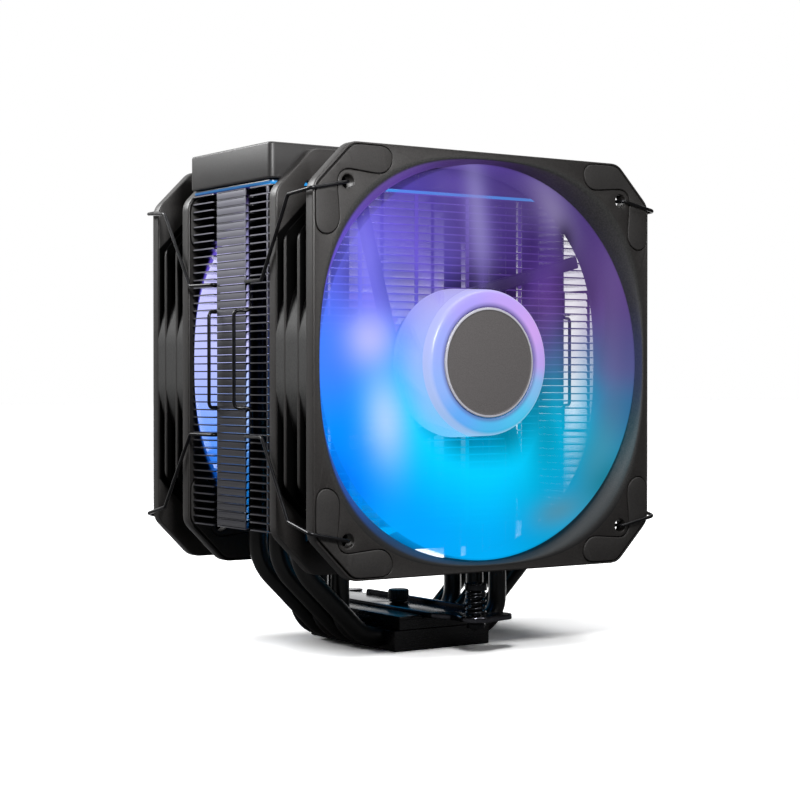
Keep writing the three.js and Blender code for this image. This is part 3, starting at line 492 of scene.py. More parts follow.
class Shader:
    """The node tree of one material, or of the world, while it is being made."""

    def __init__(self, owner: bpy.types.Material | bpy.types.World) -> None:
        """Starts with no nodes."""
        self.material = owner
        owner.use_nodes = True
        self.tree = owner.node_tree
        self.tree.nodes.clear()
        self._place: Term | None = None
        self.field: tuple[Term, Term, Term, Term] | None = None

    def node(self, kind: str, settings: dict[str, Any], inputs: dict[Any, Any]) -> bpy.types.Node:
        """Makes one node.

        Args:
            kind: the node's type.
            settings: its own properties, and "stops" for a ramp, set before its sockets.
            inputs: values or links for its sockets, by name or number.

        Returns:
            The node.
        """
        made = self.tree.nodes.new(kind)
        for name, value in settings.items():
            if name != "stops":
                setattr(made, name, value)
        stops = settings.get("stops", ())
        for index, (place, colour) in enumerate(stops):
            elements = made.color_ramp.elements
            element = elements[index] if index < 2 else elements.new(place)
            element.position, element.color = place, colour
        for name, value in inputs.items():
            socket = made.inputs[name]
            if isinstance(value, Term):
                self.tree.links.new(value.socket, socket)
            else:
                socket.default_value = value
        return made

    def out(self, kind: str, settings: dict[str, Any], inputs: dict[Any, Any], output: Any = 0) -> Term:
        """Makes a node and returns one of its outputs."""
        return Term(self, self.node(kind, settings, inputs).outputs[output])

    def math(self, operation: str, *values: Any) -> Term:
        """A Math node on values or terms."""
        return self.out("ShaderNodeMath", {"operation": operation}, dict(enumerate(values)))

    def place(self) -> Term:
        """The point's object coordinates."""
        if self._place is None:
            self._place = self.out("ShaderNodeTexCoord", {}, {}, "Object")
        return self._place

    def axes(self, place: Term | None = None) -> tuple[Term, Term, Term]:
        """The three numbers of a place, in metres."""
        node = self.node("ShaderNodeSeparateXYZ", {}, {0: place or self.place()})
        return Term(self, node.outputs[0]), Term(self, node.outputs[1]), Term(self, node.outputs[2])

    def marks(self) -> tuple[Term, Term]:
        """The piece's own two-number marks."""
        node = self.node("ShaderNodeSeparateXYZ", {}, {0: self.out("ShaderNodeUVMap", {"uv_map": "marks"}, {})})
        return Term(self, node.outputs[0]), Term(self, node.outputs[1])

    def noise(self, grain: float, detail: float = 2.0, stretch: Sequence[float] = (1.0, 1.0, 1.0)) -> Term:
        """Cloudy noise from 0 to 1.

        Args:
            grain: size of its cells in millimetres.
            detail: number of finer layers.
            stretch: how much longer the cells are along X, Y and Z.

        Returns:
            The noise.
        """
        scale = [1 / (grain * MM * share) for share in stretch]
        vector = self.out("ShaderNodeMapping", {"vector_type": "POINT"}, {"Vector": self.place(), "Scale": scale})
        return self.out("ShaderNodeTexNoise", {}, {"Vector": vector, "Scale": 1.0, "Detail": detail}, "Fac")

    def ramp(self, term: Term, stops: Sequence[tuple[float, tuple]], smooth: str = "LINEAR") -> Term:
        """A colour that follows a number through stops."""
        made = self.node("ShaderNodeValToRGB", {"stops": stops}, {0: term})
        made.color_ramp.interpolation = smooth
        return Term(self, made.outputs[0])

    def blend(self, factor: Any, first: Any, second: Any, mode: str = "MIX") -> Term:
        """Two colours mixed by a factor."""
        settings = {"data_type": "RGBA", "blend_type": mode, "clamp_factor": True}
        return self.out("ShaderNodeMix", settings, {0: factor, 6: first, 7: second}, 2)

    def bump(self, height: Term, distance: float, strength: float = 1.0) -> Term:
        """A normal bent by a height, whose full range stands for a distance in millimetres."""
        return self.out("ShaderNodeBump", {}, {"Strength": strength, "Distance": distance * MM, "Height": height})

    def surface(self, inputs: dict[str, Any], hollow: Term | None = None) -> bpy.types.Material:
        """Finishes the material with a Principled surface, and a matt black one mixed in as painted shade where the
        hollow mask is set.
        """
        surface = self.out("ShaderNodeBsdfPrincipled", {}, inputs)
        if hollow is not None:
            # A matt black surface: painted shade for the hollows.
            black = self.out("ShaderNodeBsdfDiffuse", {}, {"Color": tone("#060606")})
            surface = self.out("ShaderNodeMixShader", {}, {0: hollow, 1: surface, 2: black})
        self.node("ShaderNodeOutputMaterial", {}, {"Surface": surface})
        return self.material


class Finish:
    """A finish that makes its material once."""

    def material(self) -> bpy.types.Material:
        """The finish's material, made at its first use."""
        name = str(getattr(self, "name"))
        found = bpy.data.materials.get(name)
        return found or self.make(Shader(bpy.data.materials.new(name)))

    def make(self, shader: Shader) -> bpy.types.Material:
        """Makes the material. Each finish has its own."""
        raise NotImplementedError


@dataclass(frozen=True)
class LedRing:
    """The colours of the light diodes round a fan's axis, as a field in the fan's plane."""

    height: float = 90.8

    def polar(self, shader: Shader) -> tuple[Term, Term, Term, Term]:
        """Place across and above the axis, distance from it, and share of the turn from +X."""
        if shader.field is not None:
            return shader.field
        x, _, z = shader.axes()
        above = z - self.height * MM
        reach = shader.math("SQRT", x * x + above * above)
        turn = shader.math("ARCTAN2", above, x) / (2 * math.pi)
        shader.field = (x, above, reach, shader.math("FRACT", turn + 1.0))
        return shader.field

    def blade_colour(self, shader: Shader, share: Term) -> Term:
        """The light that the frosted blades carry, by share of the turn."""
        stops = [
            (0.0, tone("#53538a")),
            (0.07, tone("#6a4a98")),
            (0.16, tone("#523690")),
            (0.27, tone("#6750b4")),
            (0.35, tone("#6e5ce0")),
            (0.42, tone("#666cf6")),
            (0.49, tone("#3f7cff")),
            (0.56, tone("#0088ff")),
            (0.66, tone("#009cf6")),
            (0.75, tone("#00a8f0")),
            (0.83, tone("#009acc")),
            (0.91, tone("#0082a6")),
            (0.96, tone("#2a6490")),
            (1.0, tone("#53538a")),
        ]
        return shader.ramp(share, stops, "EASE")

    def glint(self, shader: Shader, place: tuple[float, float], size: tuple[float, float], lean: float = 0.0) -> Term:
        """A soft bright patch in the fan's plane: exp(-(u^2 + v^2)), u and v being shares of its size.

        Args:
            shader: the material being made.
            place: its middle across and above the axis, in millimetres.
            size: its half width and half height, in millimetres.
            lean: how far it runs to the right for each millimetre up.

        Returns:
            The patch, 1 in its middle.
        """
        x, above, _, _ = self.polar(shader)
        rise = above - place[1] * MM
        u = (x - place[0] * MM - rise * lean) / (size[0] * MM)
        v = rise / (size[1] * MM)
        return shader.math("EXPONENT", -(u * u + v * v))

    def hub_colour(self, shader: Shader, share: Term) -> Term:
        """The light in the hub's frosted shell, by share of the turn."""
        stops = [
            (0.0, tone("#c9a8f4")),
            (0.08, tone("#e0a9f6")),
            (0.2, tone("#cfa6fb")),
            (0.33, tone("#b4a2ff")),
            (0.45, tone("#9db1ff")),
            (0.56, tone("#8cbcff")),
            (0.66, tone("#46b4ff")),
            (0.75, tone("#12c4f4")),
            (0.85, tone("#1fd3f5")),
            (0.94, tone("#7fc8f2")),
            (1.0, tone("#c9a8f4")),
        ]
        return shader.ramp(share, stops, "EASE")

    def spill(self, shader: Shader, strength: float) -> Term:
        """The light that reaches the pieces round a fan."""
        _, _, reach, share = self.polar(shader)
        near = reach.step(0.075, 0.02) * strength
        return shader.blend(near, (0.0, 0.0, 0.0, 1.0), self.blade_colour(shader, share))


@dataclass(frozen=True)
class MouldedPlastic(Finish):
    """Black moulded plastic or rubber with a fine eroded grain."""

    name: str
    colour: str
    roughness: float
    grain: float = 0.35
    relief: float = 0.02

    def make(self, shader: Shader) -> bpy.types.Material:
        """Fine grain in colour and height, and broad soft differences in gloss."""
        return shader.surface(self.inputs(shader))

    def inputs(self, shader: Shader) -> dict[str, Any]:
        """The surface's values."""
        fine, broad = shader.noise(self.grain, 3.0), shader.noise(9.0, 2.0)
        dark = tuple(0.72 * value for value in tone(self.colour)[:3]) + (1.0,)
        pale = tuple(1.3 * value for value in tone(self.colour)[:3]) + (1.0,)
        return {
            "Base Color": shader.blend(fine.step(0.32, 0.68), dark, pale),
            "Roughness": self.roughness - 0.05 + 0.1 * broad,
            "Normal": shader.bump(fine, self.relief),
        }


@dataclass(frozen=True)
class FramePlastic(Finish):
    """A fan frame's plastic, with painted shade deep between its ribs, where a matt black is mixed in."""

    face: float
    plastic: MouldedPlastic = MouldedPlastic("frame plastic", "#232120", 0.45)
    half: float = 65.0
    cut: float = 27.0
    gap: tuple[float, float] = (3.3, 21.7)
    fade: float = 1.1

    @property
    def name(self) -> str:
        """A name for each fan's own plastic."""
        return "frame plastic " + ("front" if self.face < 0 else "rear")

    def hollow(self, shader: Shader) -> Term:
        """The painted shade's mask: 1 between the flanges and inside the ribs' outline, and 0 on the frame's outer
        side.
        """
        x, above, reach, _ = LedRing().polar(shader)
        _, y, _ = shader.axes()
        depth = y - self.face * MM
        slant = x.size() + above.size() - (self.half - self.cut) * MM
        side = x.size().most(above.size()).most(slant).step((self.half - 0.35) * MM, (self.half - self.fade) * MM)
        between = depth.step((self.gap[0] - 0.2) * MM, self.gap[0] * MM) * reach.step(0.06, 0.062)
        return side * between * depth.step((self.gap[1] + 0.2) * MM, self.gap[1] * MM)

    def make(self, shader: Shader) -> bpy.types.Material:
        """Mixes the plastic with a matt black in the hollows, as painted shade."""
        # Painted shade: matt black wherever the hollow mask is 1.
        return shader.surface(self.plastic.inputs(shader), self.hollow(shader))


@dataclass(frozen=True)
class DuctWall(FramePlastic):
    """The frame's plastic inside a duct, with the light that the blades throw on it painted on as emission, painted
    shade on its lower part, and painted shade in the hollows outside it.
    """

    outside: float = 63.6
    fade: float = 5.5

    @property
    def name(self) -> str:
        """A name for each fan's own wall."""
        return "duct wall " + ("front" if self.face < 0 else "rear")

    def make(self, shader: Shader) -> bpy.types.Material:
        """A coarse grain, painted light by share of the turn that fades out towards the front mouth, and painted shade
        towards the bottom.
        """
        fine = shader.noise(0.45, 3.0)
        _, y, _ = shader.axes()
        x, above, reach, share = LedRing().polar(shader)
        across, _, up = shader.axes(shader.out("ShaderNodeNewGeometry", {}, {}, "Normal"))
        inward = ((x * across + above * up) / reach).step(-0.2, -0.6)
        depth = y - self.face * MM
        stops = [
            (0.0, tone("#20284a")),
            (0.06, tone("#15151c")),
            (0.13, tone("#0b080d")),
            (0.2, tone("#1a1024")),
            (0.27, tone("#3a2656")),
            (0.35, tone("#573a92")),
            (0.42, tone("#5a44c0")),
            (0.5, tone("#2a55e0")),
            (0.58, tone("#003f98")),
            (0.66, tone("#002c50")),
            (0.74, tone("#000a14")),
            (0.81, tone("#020c10")),
            (0.88, tone("#101c22")),
            (0.94, tone("#06323c")),
            (1.0, tone("#20284a")),
        ]
        light = shader.ramp(share, stops, "EASE")
        inside = depth.step(0.0, 0.0006) * inward
        grain = shader.blend(fine.step(0.3, 0.7), tone("#121212"), tone("#292928"))
        inputs = {
            # Painted shade: the base colour darkens to near black towards the bottom of the duct.
            "Base Color": shader.blend(above.step(-0.03, -0.055) * 0.85, grain, tone("#020203")),
            "Roughness": 0.6,
            "Normal": shader.bump(fine, 0.05),
            "Emission Color": shader.blend(inside, (0.0, 0.0, 0.0, 1.0), light),
            "Emission Strength": 1.0,
        }
        outside = reach.step(self.outside * MM, (self.outside + 0.3) * MM)
        # Painted shade in the hollows between the ribs, outside the duct's wall.
        return shader.surface(inputs, self.hollow(shader) * outside)


@dataclass(frozen=True)
class CoatedMetal(Finish):
    """Dark coated or plated metal, with drawn streaks along one direction."""

    name: str
    colour: str
    roughness: float
    metallic: float
    stretch: tuple[float, float, float] = (1.0, 1.0, 1.0)
    grain: float = 0.6
    relief: float = 0.004
    coat: float = 0.0

    def make(self, shader: Shader) -> bpy.types.Material:
        """Streaks in colour, gloss and height."""
        streak, broad = shader.noise(self.grain, 3.0, self.stretch), shader.noise(14.0, 2.0)
        dark = tuple(0.8 * value for value in tone(self.colour)[:3]) + (1.0,)
        pale = tuple(1.25 * value for value in tone(self.colour)[:3]) + (1.0,)
        return shader.surface(
            {
                "Base Color": shader.blend(streak.step(0.3, 0.7), dark, pale),
                "Metallic": self.metallic,
                "Roughness": self.roughness - 0.06 + 0.07 * streak + 0.05 * broad,
                "Coat Weight": self.coat,
                "Coat Roughness": 0.12,
                "Normal": shader.bump(streak, self.relief),
            }
        )


@dataclass(frozen=True)
class LitFins(Finish):
    """Black coated fins, whose edges and folds catch the light of the fans, painted on as emission, and whose folded
    sides are painted paler towards the top.
    """

    name: str = "black coated fins"
    colour: str = "#1d1d22"
    face: float = 24.9

    def make(self, shader: Shader) -> bpy.types.Material:
        """Coated sheet with drawn streaks, painted fan light on the edges that face a fan, and painted light that
        makes the folded sides paler, most towards the top.
        """
        streak, broad = shader.noise(0.5, 3.0, (8.0, 1.0, 1.0)), shader.noise(12.0, 2.0)
        x, y, z = shader.axes()
        folded = x.size().step(62.6 * MM, 62.95 * MM)
        sheet = shader.blend(streak.step(0.3, 0.7), tone("#17171b"), tone("#26262c"))
        # Painted light: the folded sides are paler than the sheet, and paler still towards the top.
        side = shader.blend(z.step(0.09, 0.125), tone("#37373d"), tone("#7a7a84"))
        _, _, reach, share = LedRing().polar(shader)
        edge = y.size().step((self.face - 0.7) * MM, (self.face - 0.1) * MM)
        depth = y.size().step(0.004, self.face * MM)
        light = (edge * 0.55 + depth * 0.05) * reach.step(0.066, 0.05)
        return shader.surface(
            {
                "Base Color": shader.blend(folded, sheet, side),
                "Metallic": 0.35,
                "Roughness": 0.34 + 0.1 * broad,
                "Coat Weight": 0.7,
                "Coat Roughness": 0.08,
                "Normal": shader.bump(streak, 0.004),
                "Emission Color": shader.blend(light, (0.0, 0.0, 0.0, 1.0), LedRing().blade_colour(shader, share)),
                "Emission Strength": 1.0,
            }
        )


@dataclass(frozen=True)
class FrostedHub(Finish):
    """The hub's frosted shell, lit from inside."""

    name: str = "frosted hub"

    def make(self, shader: Shader) -> bpy.types.Material:
        """Light that is strongest where the shell is thin, over a fine frosting, with a pale painted highlight round
        its side.
        """
        ring = LedRing()
        _, _, reach, share = ring.polar(shader)
        frost = shader.noise(0.4, 3.0)
        colour = ring.hub_colour(shader, share)
        rim = reach.step(0.0172, 0.019)
        light = shader.blend(0.25 + 0.75 * rim, tone("#30306a"), colour)
        # Painted highlight: a pale tint over the hub's side wall.
        light = shader.blend(reach.step(0.0212, 0.0226) * 0.55, light, tone("#dfe6ff"))
        return shader.surface(
            {
                "Base Color": tone("#4c4e78"),
                "Roughness": 0.32 + 0.1 * frost,
                "Normal": shader.bump(frost, 0.01),
                "Emission Color": light,
                "Emission Strength": 0.72,
            }
        )


@dataclass(frozen=True)
class FrostedBlades(Finish):
    """Clear frosted blades, faint because they spin, that carry the light of the hub."""

    name: str = "frosted blades"
    cover: float = 0.1

    def make(self, shader: Shader) -> bpy.types.Material:
        """See-through by the marks across the chord and the span, and lit by place."""
        chord, span = shader.marks()
        ring = LedRing()
        _, _, _, share = ring.polar(shader)
        sides = chord.step(0.0, 0.45) * chord.step(1.0, 0.55)
        tip = span.step(1.0, 0.9)
        frost = shader.noise(0.5, 2.0)
        return shader.surface(
            {
                "Base Color": tone("#1c1c2c"),
                "Roughness": 0.5 + 0.08 * frost,
                "Specular IOR Level": 0.1,
                "Alpha": self.cover * sides * tip,
                "Emission Color": ring.blade_colour(shader, share),
                "Emission Strength": 1.6,
            }
        )


@dataclass(frozen=True)
class SpinBlur(Finish):
    """The blades' light spread over their whole round, as an eye or a shutter sees them spin."""

    face: float

    @property
    def name(self) -> str:
        """A name for each fan's own blades."""
        return "spinning blades " + ("front" if self.face < 0 else "rear")

    def make(self, shader: Shader) -> bpy.types.Material:
        """Cover and light by place in the fan's plane, with soft painted highlights where the blades shine.

        The marks' first number is 0 on the front side and 1 on the rear side, and the second
        runs from the hub to the tips.
        """
        side, span = shader.marks()
        ring = LedRing()
        _, above, reach, share = ring.polar(shader)
        low = above.step(0.022, -0.024)
        left = ring.glint(shader, (-62.0, 0.0), (34.0, 40.0))
        right = ring.glint(shader, (62.0, -6.0), (14.0, 44.0))
        cover = 0.4 + 0.54 * low + left * 0.45 + right * 0.1
        cover = cover * (0.2 + 0.8 * span.step(0.0, 0.33)) * (0.5 + 0.5 * span.step(1.0, 0.98))
        colour = ring.blade_colour(shader, share)
        brighter = shader.blend(reach.step(0.056, 0.026) * low, colour, tone("#00ceff"))
        # Painted highlights: soft patches of paler or deeper light where the spinning blades shine.
        painted_highlights = [
            (ring.glint(shader, (-43.0, 7.0), (8.0, 8.0)), "#c3c0ff", 0.75),
            (ring.glint(shader, (-37.5, -17.0), (6.5, 12.0), -0.1), "#aecbff", 0.8),
            (ring.glint(shader, (-46.0, 33.0), (7.0, 18.0), -0.25), "#8c84f0", 0.6),
            (ring.glint(shader, (-3.0, 44.0), (5.0, 26.0), -0.12), "#958ec4", 0.75),
            (ring.glint(shader, (27.0, 48.0), (8.0, 12.0), -0.5), "#a79dc4", 0.6),
            (ring.glint(shader, (23.0, 10.0), (8.0, 16.0)), "#7d52b0", 0.7),
            (ring.glint(shader, (24.0, -20.0), (8.0, 18.0)), "#007f9c", 0.8),
            (ring.glint(shader, (51.0, 12.0), (6.0, 30.0)), "#6e6290", 0.4),
            (ring.glint(shader, (46.0, -30.0), (8.0, 18.0), 0.3), "#4f93a6", 0.45),
            (ring.glint(shader, (29.0, -47.0), (9.0, 5.0), 0.6), "#5c7f86", 0.55),
            (ring.glint(shader, (50.0, -38.0), (9.0, 7.0), 0.6), "#006878", 0.6),
            (ring.glint(shader, (-52.0, -36.0), (8.0, 10.0), -0.6), "#0058e0", 0.6),
        ]
        for patch, code, weight in painted_highlights:
            brighter = shader.blend(patch * weight, brighter, tone(code))
            cover = cover + patch * weight * 0.45
        if self.face > 0:
            cover = cover.most(0.88 * span.step(0.0, 0.1))
            # Painted light: the upper half of the rear sweep is tinted pale.
            brighter = shader.blend(above.step(-0.04, 0.01) * 0.65, brighter, tone("#dcd8ff"))
        else:
            gap = ring.glint(shader, (34.0, 4.0), (5.0, 27.0)).most(ring.glint(shader, (31.5, 39.0), (4.0, 6.0)))
            fins = ring.glint(shader, (-28.0, 25.0), (10.0, 8.0)).most(ring.glint(shader, (-50.0, 28.0), (4.0, 12.0)))
            cover = cover * (1.0 - 0.85 * gap) * (1.0 - 0.5 * fins)
        cover = shader.math("MINIMUM", cover, 0.985) * (1.0 - side * 0.8)
        streak = shader.noise(1.2, 2.0, (30.0, 1.0, 0.6))
        return shader.surface(
            {
                "Base Color": tone("#030305"),
                "Roughness": 0.5,
                "Specular IOR Level": 0.02,
                "Alpha": cover * (0.96 + 0.04 * streak),
                "Emission Color": brighter,
                "Emission Strength": 1.15,
            }
        )


@dataclass(frozen=True)
class HubCapFinish(Finish):
    """Dark grey satin disc with a pale turned rim."""

    name: str = "hub cap"

    def make(self, shader: Shader) -> bpy.types.Material:
        """A radial rim mask between the satin grey and the pale rim."""
        _, _, reach, _ = LedRing().polar(shader)
        fine = shader.noise(0.3, 2.0)
        rim = reach.step(0.0162, 0.0164)
        face = shader.blend(fine.step(0.3, 0.7), tone("#4c4949"), tone("#595656"))
        return shader.surface(
            {
                "Base Color": shader.blend(rim, face, tone("#a9a9b2")),
                "Metallic": 0.0,
                "Roughness": 0.48 - 0.12 * rim,
                "Normal": shader.bump(fine, 0.006),
            }
        )


@dataclass(frozen=True)
class LitBar(Finish):
    """The light bar's blue glow, brighter over its diodes."""

    name: str = "lit bar"

    def make(self, shader: Shader) -> bpy.types.Material:
        """Evenly spaced bright places along X on a blue strip."""
        x, y, z = shader.axes()
        beads = 0.5 + 0.5 * (x * (2 * math.pi / 0.016)).wave()
        outside = x.step(-0.0634, -0.0625)
        corner = y.step(-0.012, -0.0235) * outside
        glow = shader.blend(0.5 + 0.3 * beads * outside, tone("#0a3560"), tone("#1d86d0"))
        glow = shader.blend(corner, shader.blend(outside, glow, tone("#22205a")), tone("#2a9be8"))
        light = shader.blend(z.step(0.14535, 0.1452), tone("#050a12"), glow)
        return shader.surface(
            {
                "Base Color": tone("#141c28"),
                "Roughness": 0.3,
                "Emission Color": light,
                "Emission Strength": 1.0,
            }
        )


@dataclass(frozen=True)
class BoardFinish(Finish):
    """Circuit board: green mask with paler tracks and tinned dots."""

    name: str = "circuit board"

    def make(self, shader: Shader) -> bpy.types.Material:
        """Tracks from a stretched wave of noise, and dots from a cell pattern."""
        x, y, z = shader.axes()
        wander = shader.noise(4.0, 1.0)
        tracks = ((x * 2500.0 + wander * 9.0).wave()).step(0.55, 0.75)
        cells = {"Vector": shader.place(), "Scale": 260.0}
        dots = shader.out("ShaderNodeTexVoronoi", {}, cells, "Distance").step(0.2, 0.16)
        mask = shader.blend(tracks, tone("#12351f"), tone("#1f5a34"))
        return shader.surface(
            {
                "Base Color": shader.blend(dots, mask, tone("#c8c8c0")),
                "Metallic": dots,
                "Roughness": 0.45 - 0.15 * dots,
                "Normal": shader.bump(tracks, 0.03),
            }
        )


@dataclass(frozen=True)
class WoundCopper(Finish):
    """Enamelled copper wire, wound in close turns."""

    name: str = "wound copper"

    def make(self, shader: Shader) -> bpy.types.Material:
        """Turns as a wave along the fan's depth."""
        _, y, _ = shader.axes()
        turns = 0.5 + 0.5 * (y * (2 * math.pi / 0.0005)).wave()
        return shader.surface(
            {
                "Base Color": shader.blend(turns, tone("#6b3417"), tone("#c9753f")),
                "Metallic": 0.85,
                "Roughness": 0.5 - 0.2 * turns,
                "Normal": shader.bump(turns, 0.1),
            }
        )


PAD_RUBBER = MouldedPlastic("pad rubber", "#211f1e", 0.62, grain=0.3, relief=0.03)
PIPE_PAINT = CoatedMetal("black pipe paint", "#0f0f10", 0.3, 0.0, (1.0, 1.0, 6.0))
COVER_COAT = MouldedPlastic("cover powder coat", "#222121", 0.46, grain=0.28, relief=0.012)
BASE_COAT = CoatedMetal("base plating", "#101012", 0.28, 0.0, (6.0, 1.0, 1.0))
BAR_POLISH = CoatedMetal("polished bar", "#5c5c62", 0.2, 1.0, (1.0, 14.0, 1.0), grain=0.4, relief=0.001)
DARK_STEEL = CoatedMetal("dark steel", "#2a2b2e", 0.24, 0.9, (1.0, 1.0, 1.0))
WIRE_STEEL = CoatedMetal("blackened wire", "#18181a", 0.3, 0.6, (4.0, 4.0, 4.0))
KNOB_COAT = CoatedMetal("knob coating", "#131314", 0.34, 0.3)
SHAFT_STEEL = CoatedMetal("ground steel", "#9a9da2", 0.22, 1.0, (1.0, 6.0, 1.0))
MAGNET_COAT = CoatedMetal("magnet coating", "#26272a", 0.4, 0.6, (1.0, 8.0, 1.0))
BRONZE = CoatedMetal("oiled bronze", "#8a6636", 0.36, 1.0, (1.0, 5.0, 1.0))


# Pieces


@dataclass
class Shop:
    """Makes pieces from skins and dresses the part's own nodes."""

    nodes: dict[str, bpy.types.Object]
    made: int = 0

    def piece(self, name: str, skin: Skin, finish: Finish, body: str, slot: str, replaces: Sequence[str] = (), crease: float = 40.0) -> bpy.types.Object:
        """Makes a mesh object from a skin and lets it ride on a body.

        Args:
            name: the piece's name.
            skin: its shape.
            finish: its material.
            body: the body that carries it.
            slot: a material slot's name; not used.
            replaces: the part's nodes that it stands for.
            crease: edges bent by more than this many degrees stay sharp.

        Returns:
            The object.
        """
        whole = skin.welded()
        mesh = bpy.data.meshes.new(name)
        corners = np.where(whole.faces[:, 2] == whole.faces[:, 3], 3, 4)
        kept = np.arange(4)[None, :] < corners[:, None]
        mesh.vertices.add(len(whole.points))
        mesh.vertices.foreach_set("co", (whole.points * MM).astype(np.float32).ravel())
        mesh.loops.add(int(corners.sum()))
        loops = whole.faces[kept].astype(np.int32)
        mesh.loops.foreach_set("vertex_index", loops)
        mesh.polygons.add(len(corners))
        starts = np.concatenate([[0], np.cumsum(corners)[:-1]]).astype(np.int32)
        mesh.polygons.foreach_set("loop_start", starts)
        mesh.polygons.foreach_set("loop_total", corners.astype(np.int32))
        mesh.update(calc_edges=True)
        if whole.marks is not None:
            layer = mesh.uv_layers.new(name="marks")
            layer.data.foreach_set("uv", whole.marks[loops].astype(np.float32).ravel())
        mesh.validate()
        mesh.polygons.foreach_set("use_smooth", np.ones(len(mesh.polygons), bool))
        mesh.set_sharp_from_angle(angle=math.radians(crease))
        mesh.materials.append(finish.material())
        obj = bpy.data.objects.new(name, mesh)
        bpy.context.scene.collection.objects.link(obj)
        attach(obj, body)
        if replaces:
            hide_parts(*replaces)
        self.made += 1
        LOG.info("%s: %d faces, rides on %s", name, len(mesh.polygons), body)
        return obj

    def dress(self, name: str, finish: Finish) -> None:
        """Gives a node of the part a finish."""
        materials = self.nodes[name].data.materials
        materials.clear()
        materials.append(finish.material())
        LOG.info("%s: dressed as %s", name, finish.material().name)


class Side(Enum):
    """Which of the two fans, clips or screws a piece belongs to."""

    FRONT = "front"
    REAR = "rear"


@dataclass(frozen=True)
class FanPlace:
    """Where a fan stands: the depth of its front face and the height of its axis."""

    side: Side
    face: float
    height: float = 90.8

    @property
    def wheel(self) -> str:
        """The body that spins."""
        return self.side.value + "_fan_wheel"

    def named(self, piece: str) -> str:
        """A piece's name with the fan's side before it."""
        return self.side.value + "_" + piece

    def set_in(self, skin: Skin) -> Skin:
        """A skin in the fan's own coordinates, moved to its place."""
        return skin.moved(0, self.face, self.height)


@dataclass
class CornerPads:
    """The eight rubber pads of a fan frame and the pockets they sit in."""

    size: float = 129.0
    margin: float = 0.9
    tip_centre: tuple[float, float] = (40.1, 60.3)
    tip_radius: float = 3.3
    belly_centre: tuple[float, float] = (41.8, 60.4)
    belly_radius: float = 5.0
    hole_place: float = 52.5
    hollow_radius: float = 4.0
    corner_cut: float = 13.0
    thickness: float = 1.6
    proud: float = 0.3
    depth: float = 25.0
    corners: tuple[str, ...] = ("upper_right", "upper_left", "lower_left", "lower_right")

    def outline(self, grow: float) -> np.ndarray:
        """Two lobes joined round the screw hole, for the upper right corner, grown by an allowance.

        A lobe's end turns on a small arc at the frame's edge and a larger one towards the duct.
        """
        edge = self.size / 2 - self.margin + grow
        slant = self.corner_cut - (2 - math.sqrt(2)) * grow
        tip = arc(self.tip_centre, self.tip_radius + grow, 90, 180, 9)
        belly = arc(self.belly_centre, self.belly_radius + grow, 180, 262, 12)
        hollow = arc((self.hole_place, self.hole_place), self.hollow_radius - grow, 108, -18, 14)
        end = np.concatenate([tip, belly])
        loop = np.concatenate([[[edge, edge - slant], [edge - slant, edge]], end, hollow, end[::-1, ::-1]])
        return softened(resampled(loop, 180), 14)

    def pockets(self, in_top: bool) -> list[Opening]:
        """The four pockets in a flange's front or rear face."""
        loop = self.outline(SEAT_GAP)
        depth = self.thickness + SEAT_GAP - SEAT_GAP
        turns = [np.array([[0.0, -1.0], [1.0, 0.0]])] * 4
        found, here = [], loop
        for turn in turns:
            found.append(Opening(here, 0.12, depth, in_top))
            here = here @ turn.T
        return found

    def build(self, shop: Shop, place: FanPlace) -> None:
        """Makes the pads of both flanges, each a quarter turn on from the one before."""
        loop = self.outline(0.0)
        for index, corner in enumerate(self.corners):
            for face, low in (("front", -self.proud), ("rear", self.depth + self.proud - self.thickness)):
                pad = plate(loop, low, low + self.thickness, 0.3).upright().turned(-90.0 * index)
                name = place.named("pad_" + face + "_" + corner)
                skin = place.set_in(pad)
                shop.piece(name + "_rubber", skin, PAD_RUBBER, "cooler", "pad_rubber", [name])


